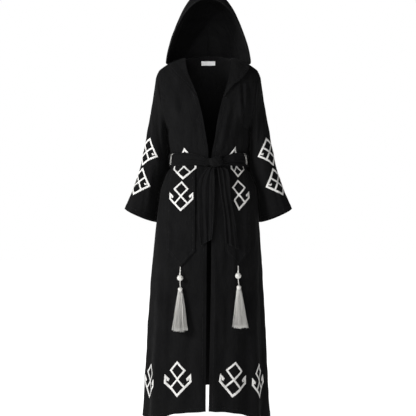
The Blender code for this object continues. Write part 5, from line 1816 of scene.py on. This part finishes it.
def pocket_place(name, x, z, tilt=0.0):
    """The same on a pocket's cloth, centred at a point of the front view."""
    left, right = POCKETS[name]["low"]
    share = (x - left) / (right - left)
    turn = turn_at(x, np.array(z))
    height = float(height_of(z, turn))

    def fall_at(share, height):
        return (height - POCKET_TOP) / (pocket_bottom(name, share) - POCKET_TOP)

    across = walked_from(over_pocket(name, WALK_SHARES, fall_at(WALK_SHARES, height)), WALK_SHARES, share)
    heights = height + WALK_HEIGHTS
    up = walked_from(over_pocket(name, share, fall_at(share, heights)), heights, height)

    def place(local_x, local_y, off):
        local_x, local_y = turned_by(local_x, local_y, tilt)
        at = np.interp(local_x, across, WALK_SHARES)
        return over_pocket(name, at, fall_at(at, np.interp(local_y, up, heights)), off)

    return place


def sleeve_at(side, x, z):
    """Share and angle of the point on the sleeve's front that lies at x and z."""
    share, angle = np.meshgrid(np.linspace(0.2, 1.0, 161), np.linspace(0.1, 2.4, 161), indexing="ij")
    points = over_sleeve(side, share, angle)
    near = np.argmin(np.hypot(points[..., 0] - x, points[..., 2] - z))
    return share.flat[near], angle.flat[near]


def sleeve_place(side, x, z, tilt):
    """The same on a sleeve's front. y walks up the sleeve. x walks round it square to that: a ring of the
    sleeve also climbs, so what it climbs is taken off again."""
    share, angle = sleeve_at(side, x, z)
    shares = share + WALK_SLEEVE
    column = over_sleeve(side, shares, np.full(shares.shape, angle))
    down = walked_from(column, shares, share)
    middle = len(shares) // 2
    axis = column[middle - 1] - column[middle + 1]
    axis /= np.linalg.norm(axis)
    angles = angle + WALK_ANGLES
    ring = over_sleeve(side, np.full(angles.shape, share), angles)
    steps = np.diff(ring, axis=0)
    climb = steps @ axis
    square = np.sqrt(np.maximum(np.sum(steps ** 2, axis=1) - climb ** 2, 0.0))
    around = np.append(0.0, np.cumsum(square))
    around -= np.interp(angle, angles, around)
    level = np.append(0.0, np.cumsum(climb))
    level -= np.interp(angle, angles, level)

    def place(local_x, local_y, off):
        local_x, local_y = turned_by(local_x, local_y, tilt)
        at = np.interp(local_x, around, angles)
        rise = local_y - np.interp(local_x, around, level)
        return over_sleeve(side, np.interp(-rise, down, shares), at, off)

    return place


# %% Where the figures go
HEM_FIGURES = (
    # z of the crossing, turn, tilt, slope, size across
    (-1.2145, -24.8, -1.0, 0.075, 1.10),
    (-1.2150, 20.8, 7.5, 0.0, 1.10),
    (-1.2400, -65.5, 2.5, 0.0, 0.82),
    (-1.2320, 53.0, 0.0, 0.0, 0.80),
    (-1.2150, -128.0, 0.0, 0.0, 1.10),
    (-1.2050, 180.0, 0.0, 0.0, 1.10),
    (-1.2150, 128.0, 0.0, 0.0, 1.10),
)
HEM_SIZE_UP = 0.97
POCKET_FIGURES = {
    # x and z of the crossing, strokes, size across and up, tilt
    "right": [
        (-0.1036, -0.5222, HOOKED_DIAMOND, (0.98, 0.850), 0.0),
        (-0.1025, -0.4050, UNDER_SASH, (0.96, 0.900), -3.0),
    ],
    "left": [
        (0.1168, -0.5175, ONE_HOOK_DIAMOND, (0.93, 0.860), 0.0),
        (0.1207, -0.4070, UNDER_SASH_IN_FOLD, (0.60, 0.700), 0.0),
    ],
}
PEAK_PLACES = {"right": (-0.0925, -0.3410), "left": (0.1040, -0.3350)}
SLEEVE_FIGURES = {
    # x and z of the crossing, tilt
    "right": [(-0.2437, -0.3455, 7.0), (-0.2736, -0.4634, 1.0)],
    "left": [(0.2410, -0.3460, 6.0), (0.2735, -0.4660, 3.0)],
}
SLEEVE_SIZE = (1.06, 1.05)

shapes = []
for z, turn, tilt, slope, across in HEM_FIGURES:
    shapes += stitch_figure(HOOKED_DIAMOND, body_place(z, turn, tilt, slope), across, HEM_SIZE_UP)
finish_piece(join_shapes("hem_embroidery", shapes), SATIN)

for name, side in SIDES:
    shapes = []
    for x, z, strokes, size, tilt in POCKET_FIGURES[name]:
        shapes += stitch_figure(strokes, pocket_place(name, x, z, tilt), *size)
    x, z = PEAK_PLACES[name]
    turn = float(turn_at(x, np.array(z)))
    shapes += stitch_figure(PEAKS[name], body_place(z, turn))
    finish_piece(join_shapes("pocket_embroidery_" + name, shapes), SATIN)

    shapes = []
    for x, z, tilt in SLEEVE_FIGURES[name]:
        shapes += stitch_figure(QUARTERED_DIAMOND, sleeve_place(side, x, z, tilt), *SLEEVE_SIZE)
    finish_piece(join_shapes("sleeve_embroidery_" + name, shapes), SATIN)

# %% [markdown]
# ## The sewing
#
# A row of black stitches holds each hem, a little way in from its edge. Each stitch is a spindle of eight
# triangles half sunk in the cloth. A row is found on its piece's own grid, by walking in from the edge.

# %% Stitch rows
STITCH_LENGTH = 0.0030
STITCH_PITCH = 0.0045
STITCH_HALF = 0.00030
SEWN = {
    # kind of piece: its sewn edges, and how far in each row lies
    "front": (("near", 0.0145), ("bottom", 0.0145)),
    "back": (("bottom", 0.0145),),
    "sleeve": (("bottom", 0.0145),),
    "hood": (("top", 0.0145),),
    "lapel": (("far", 0.0120),),
    "belt_band": (("top", 0.0030), ("bottom", 0.0030)),
    "belt_tail": (("near", 0.0040), ("far", 0.0040), ("bottom", 0.0040)),
    "pocket": (("near", 0.0120), ("far", 0.0120), ("bottom", 0.0120)),
}


def edge_first(grid, edge):
    """A grid turned so that the named edge is its first row."""
    grid = grid.swapaxes(0, 1) if edge in ("near", "far") else grid
    return grid[::-1] if edge in ("bottom", "far") else grid


def inset(grid, distance):
    """Points and normals at that distance in from a grid's first row, found column by column."""
    walked = walk(grid[..., :3])
    row = np.clip(np.sum(walked < distance, axis=0), 1, len(grid) - 1)
    column = np.arange(grid.shape[1])
    before, after = walked[row - 1, column], walked[row, column]
    share = ((distance - before) / np.maximum(after - before, 1e-9)).clip(0.0, 1.0)[:, None]
    return grid[row - 1, column] * (1 - share) + grid[row, column] * share


def stitches(line):
    """Corners of a row's stitches, n x 6 x 3: two ends, two sides, top and underside."""
    walked = walk(line[:, :3])
    at = np.arange(STITCH_PITCH / 2, walked[-1], STITCH_PITCH)
    point, ahead, normal = (
        np.stack([np.interp(at + step, walked, line[:, k]) for k in kept], axis=-1)
        for step, kept in ((0.0, (0, 1, 2)), (STITCH_LENGTH / 4, (0, 1, 2)), (0.0, (3, 4, 5)))
    )
    ahead = ahead - point
    ahead /= np.maximum(np.linalg.norm(ahead, axis=1, keepdims=True), 1e-9)
    side = np.cross(normal, ahead)
    arms = np.stack([
        ahead * STITCH_LENGTH / 2, -ahead * STITCH_LENGTH / 2,
        side * STITCH_HALF, -side * STITCH_HALF, normal * STITCH_HALF, -normal * STITCH_HALF,
    ], axis=1)
    return point[:, None] + arms


# %% Sewing the rows
SPINDLE = np.array([[0, 2, 4], [2, 1, 4], [1, 3, 4], [3, 0, 4], [2, 0, 5], [1, 2, 5], [3, 1, 5], [0, 3, 5]])
SPINDLE_UV = np.array([
    (0.0, 0.0030), (0.0, 0.0), (0.0005, 0.0015), (0.0, 0.0015), (0.0003, 0.0015), (0.0008, 0.0015),
])
rows = []
for name, grid in grids.items():
    kind = next((kind for kind in SEWN if name.startswith(kind)), None)
    for edge, distance in SEWN.get(kind, ()):
        rows.append(stitches(inset(edge_first(grid, edge), distance)))
corners = np.concatenate(rows)
faces = (np.arange(len(corners))[:, None, None] * 6 + SPINDLE).reshape(-1, 3)
uv = np.tile(SPINDLE_UV[SPINDLE].reshape(-1, 2), (len(corners), 1))
finish_piece(new_object("hem_stitches", corners.reshape(-1, 3), faces, uv), BLACK_THREAD)
print("stitches:", len(corners))

# %% [markdown]
# ## What each sheet was cut to
#
# For every piece of cloth, the size it had flat on the table, before it was hung, is printed. Cloth keeps
# its lengths when it hangs, so the cut is measured on the piece: its longest row, its longest column and
# its area.


def cloth_area(obj):
    """Area of a piece's outer side in square metres, before its thickness is added."""
    areas = np.empty(len(obj.data.polygons))
    obj.data.polygons.foreach_get("area", areas)
    return float(areas.sum())


def cut_size(grid):
    """Longest row and longest column of a grid, to the millimetre above."""
    points = grid[..., :3]
    longest = [np.linalg.norm(np.diff(points, axis=k), axis=2).sum(axis=k).max() for k in (1, 0)]
    return tuple(math.ceil(length * 1000) / 1000 for length in longest)


for name, obj in cloth.items():
    flat = cut_size(grids[name])
    area = min(cloth_area(obj), flat[0] * flat[1])
    print(name, "cut from", flat, "area", round(area, 3))

# %% [markdown]
# ## Floor, light and background
#
# The photograph is a cut-out on pure white, lit softly from the upper left. The world is white to the eye
# and dimmer as a light, and the floor glows, so that both stay white. A large key light at the left models
# the cloth, a weak one in front opens its shadows, and two narrow ones reach into the hood and the neck.

# %% Stage
FLOOR_Z = -1.440
FLOOR_HALF = 9.0
WHITE = (1.0, 1.0, 1.0, 1.0)
FLOOR_CORNERS = [(-1, -1), (1, -1), (1, 1), (-1, 1)]
mesh = bpy.data.meshes.new("floor")
mesh.from_pydata([(x * FLOOR_HALF, y * FLOOR_HALF, FLOOR_Z) for x, y in FLOOR_CORNERS], [], [(0, 1, 2, 3)])
floor = bpy.data.objects.new("floor", mesh)
bpy.context.scene.collection.objects.link(floor)
floor_material, shader = new_material("pale floor", (0.80, 0.80, 0.80), 0.9, 0.0, 0.1)
shader.inputs["Emission Color"].default_value = WHITE
shader.inputs["Emission Strength"].default_value = 1.0
mesh.materials.append(floor_material)

# %% World
WORLD_LIGHT = 0.14
WORLD_SEEN = 1.0
world = bpy.data.worlds.new("studio")
world.use_nodes = True
bpy.context.scene.world = world
nodes, links = world.node_tree.nodes, world.node_tree.links
mix = nodes.new("ShaderNodeMixShader")
backgrounds = (nodes["Background"], nodes.new("ShaderNodeBackground"))
for slot, (background, strength) in enumerate(zip(backgrounds, (WORLD_LIGHT, WORLD_SEEN)), start=1):
    background.inputs["Color"].default_value = WHITE
    background.inputs["Strength"].default_value = strength
    links.new(background.outputs["Background"], mix.inputs[slot])
links.new(nodes.new("ShaderNodeLightPath").outputs["Is Camera Ray"], mix.inputs["Fac"])
links.new(mix.outputs["Shader"], nodes["World Output"].inputs["Surface"])
print("strength of the world as a light:", WORLD_LIGHT)

# %% Lights
LIGHT_TARGET = Vector((0.0, 0.0, -0.45))
LIGHT_DISTANCE = 3.4


def hang_light(name, kind, power, place, looks_along):
    """A light of one kind at a place, turned to look along a direction."""
    data = bpy.data.lights.new(name, kind)
    data.energy = power
    obj = bpy.data.objects.new(name, data)
    obj.location = place
    obj.rotation_euler = looks_along.to_track_quat("-Z", "Y").to_euler()
    bpy.context.scene.collection.objects.link(obj)
    return data


def area_light(name, azimuth, elevation, size, power):
    """A square light that looks at the garment's chest. Azimuth 0 is the viewer's side, -90 their left."""
    a, e = math.radians(azimuth), math.radians(elevation)
    away = Vector((math.sin(a) * math.cos(e), -math.cos(a) * math.cos(e), math.sin(e)))
    hang_light(name, "AREA", power, LIGHT_TARGET + away * LIGHT_DISTANCE, -away).size = size


def narrow_light(name, place, target, angle, power):
    """A soft-edged spot that reaches only the inside of the hood or the neck."""
    data = hang_light(name, "SPOT", power, Vector(place), Vector(target) - Vector(place))
    data.spot_size = math.radians(angle)
    data.spot_blend = 0.6
    data.shadow_soft_size = 0.10


area_light("key light", -55.0, 20.0, 1.0, 148.0)
area_light("front light", -6.0, 4.0, 1.6, 25.0)
narrow_light("hood light", (-0.95, -3.05, 0.20), (0.030, 0.10, 0.125), 4.8, 260.0)
narrow_light("neck light", (-0.20, -3.10, 0.05), (0.006, 0.10, -0.045), 2.8, 160.0)
bpy.context.scene.view_settings.view_transform = "Standard"
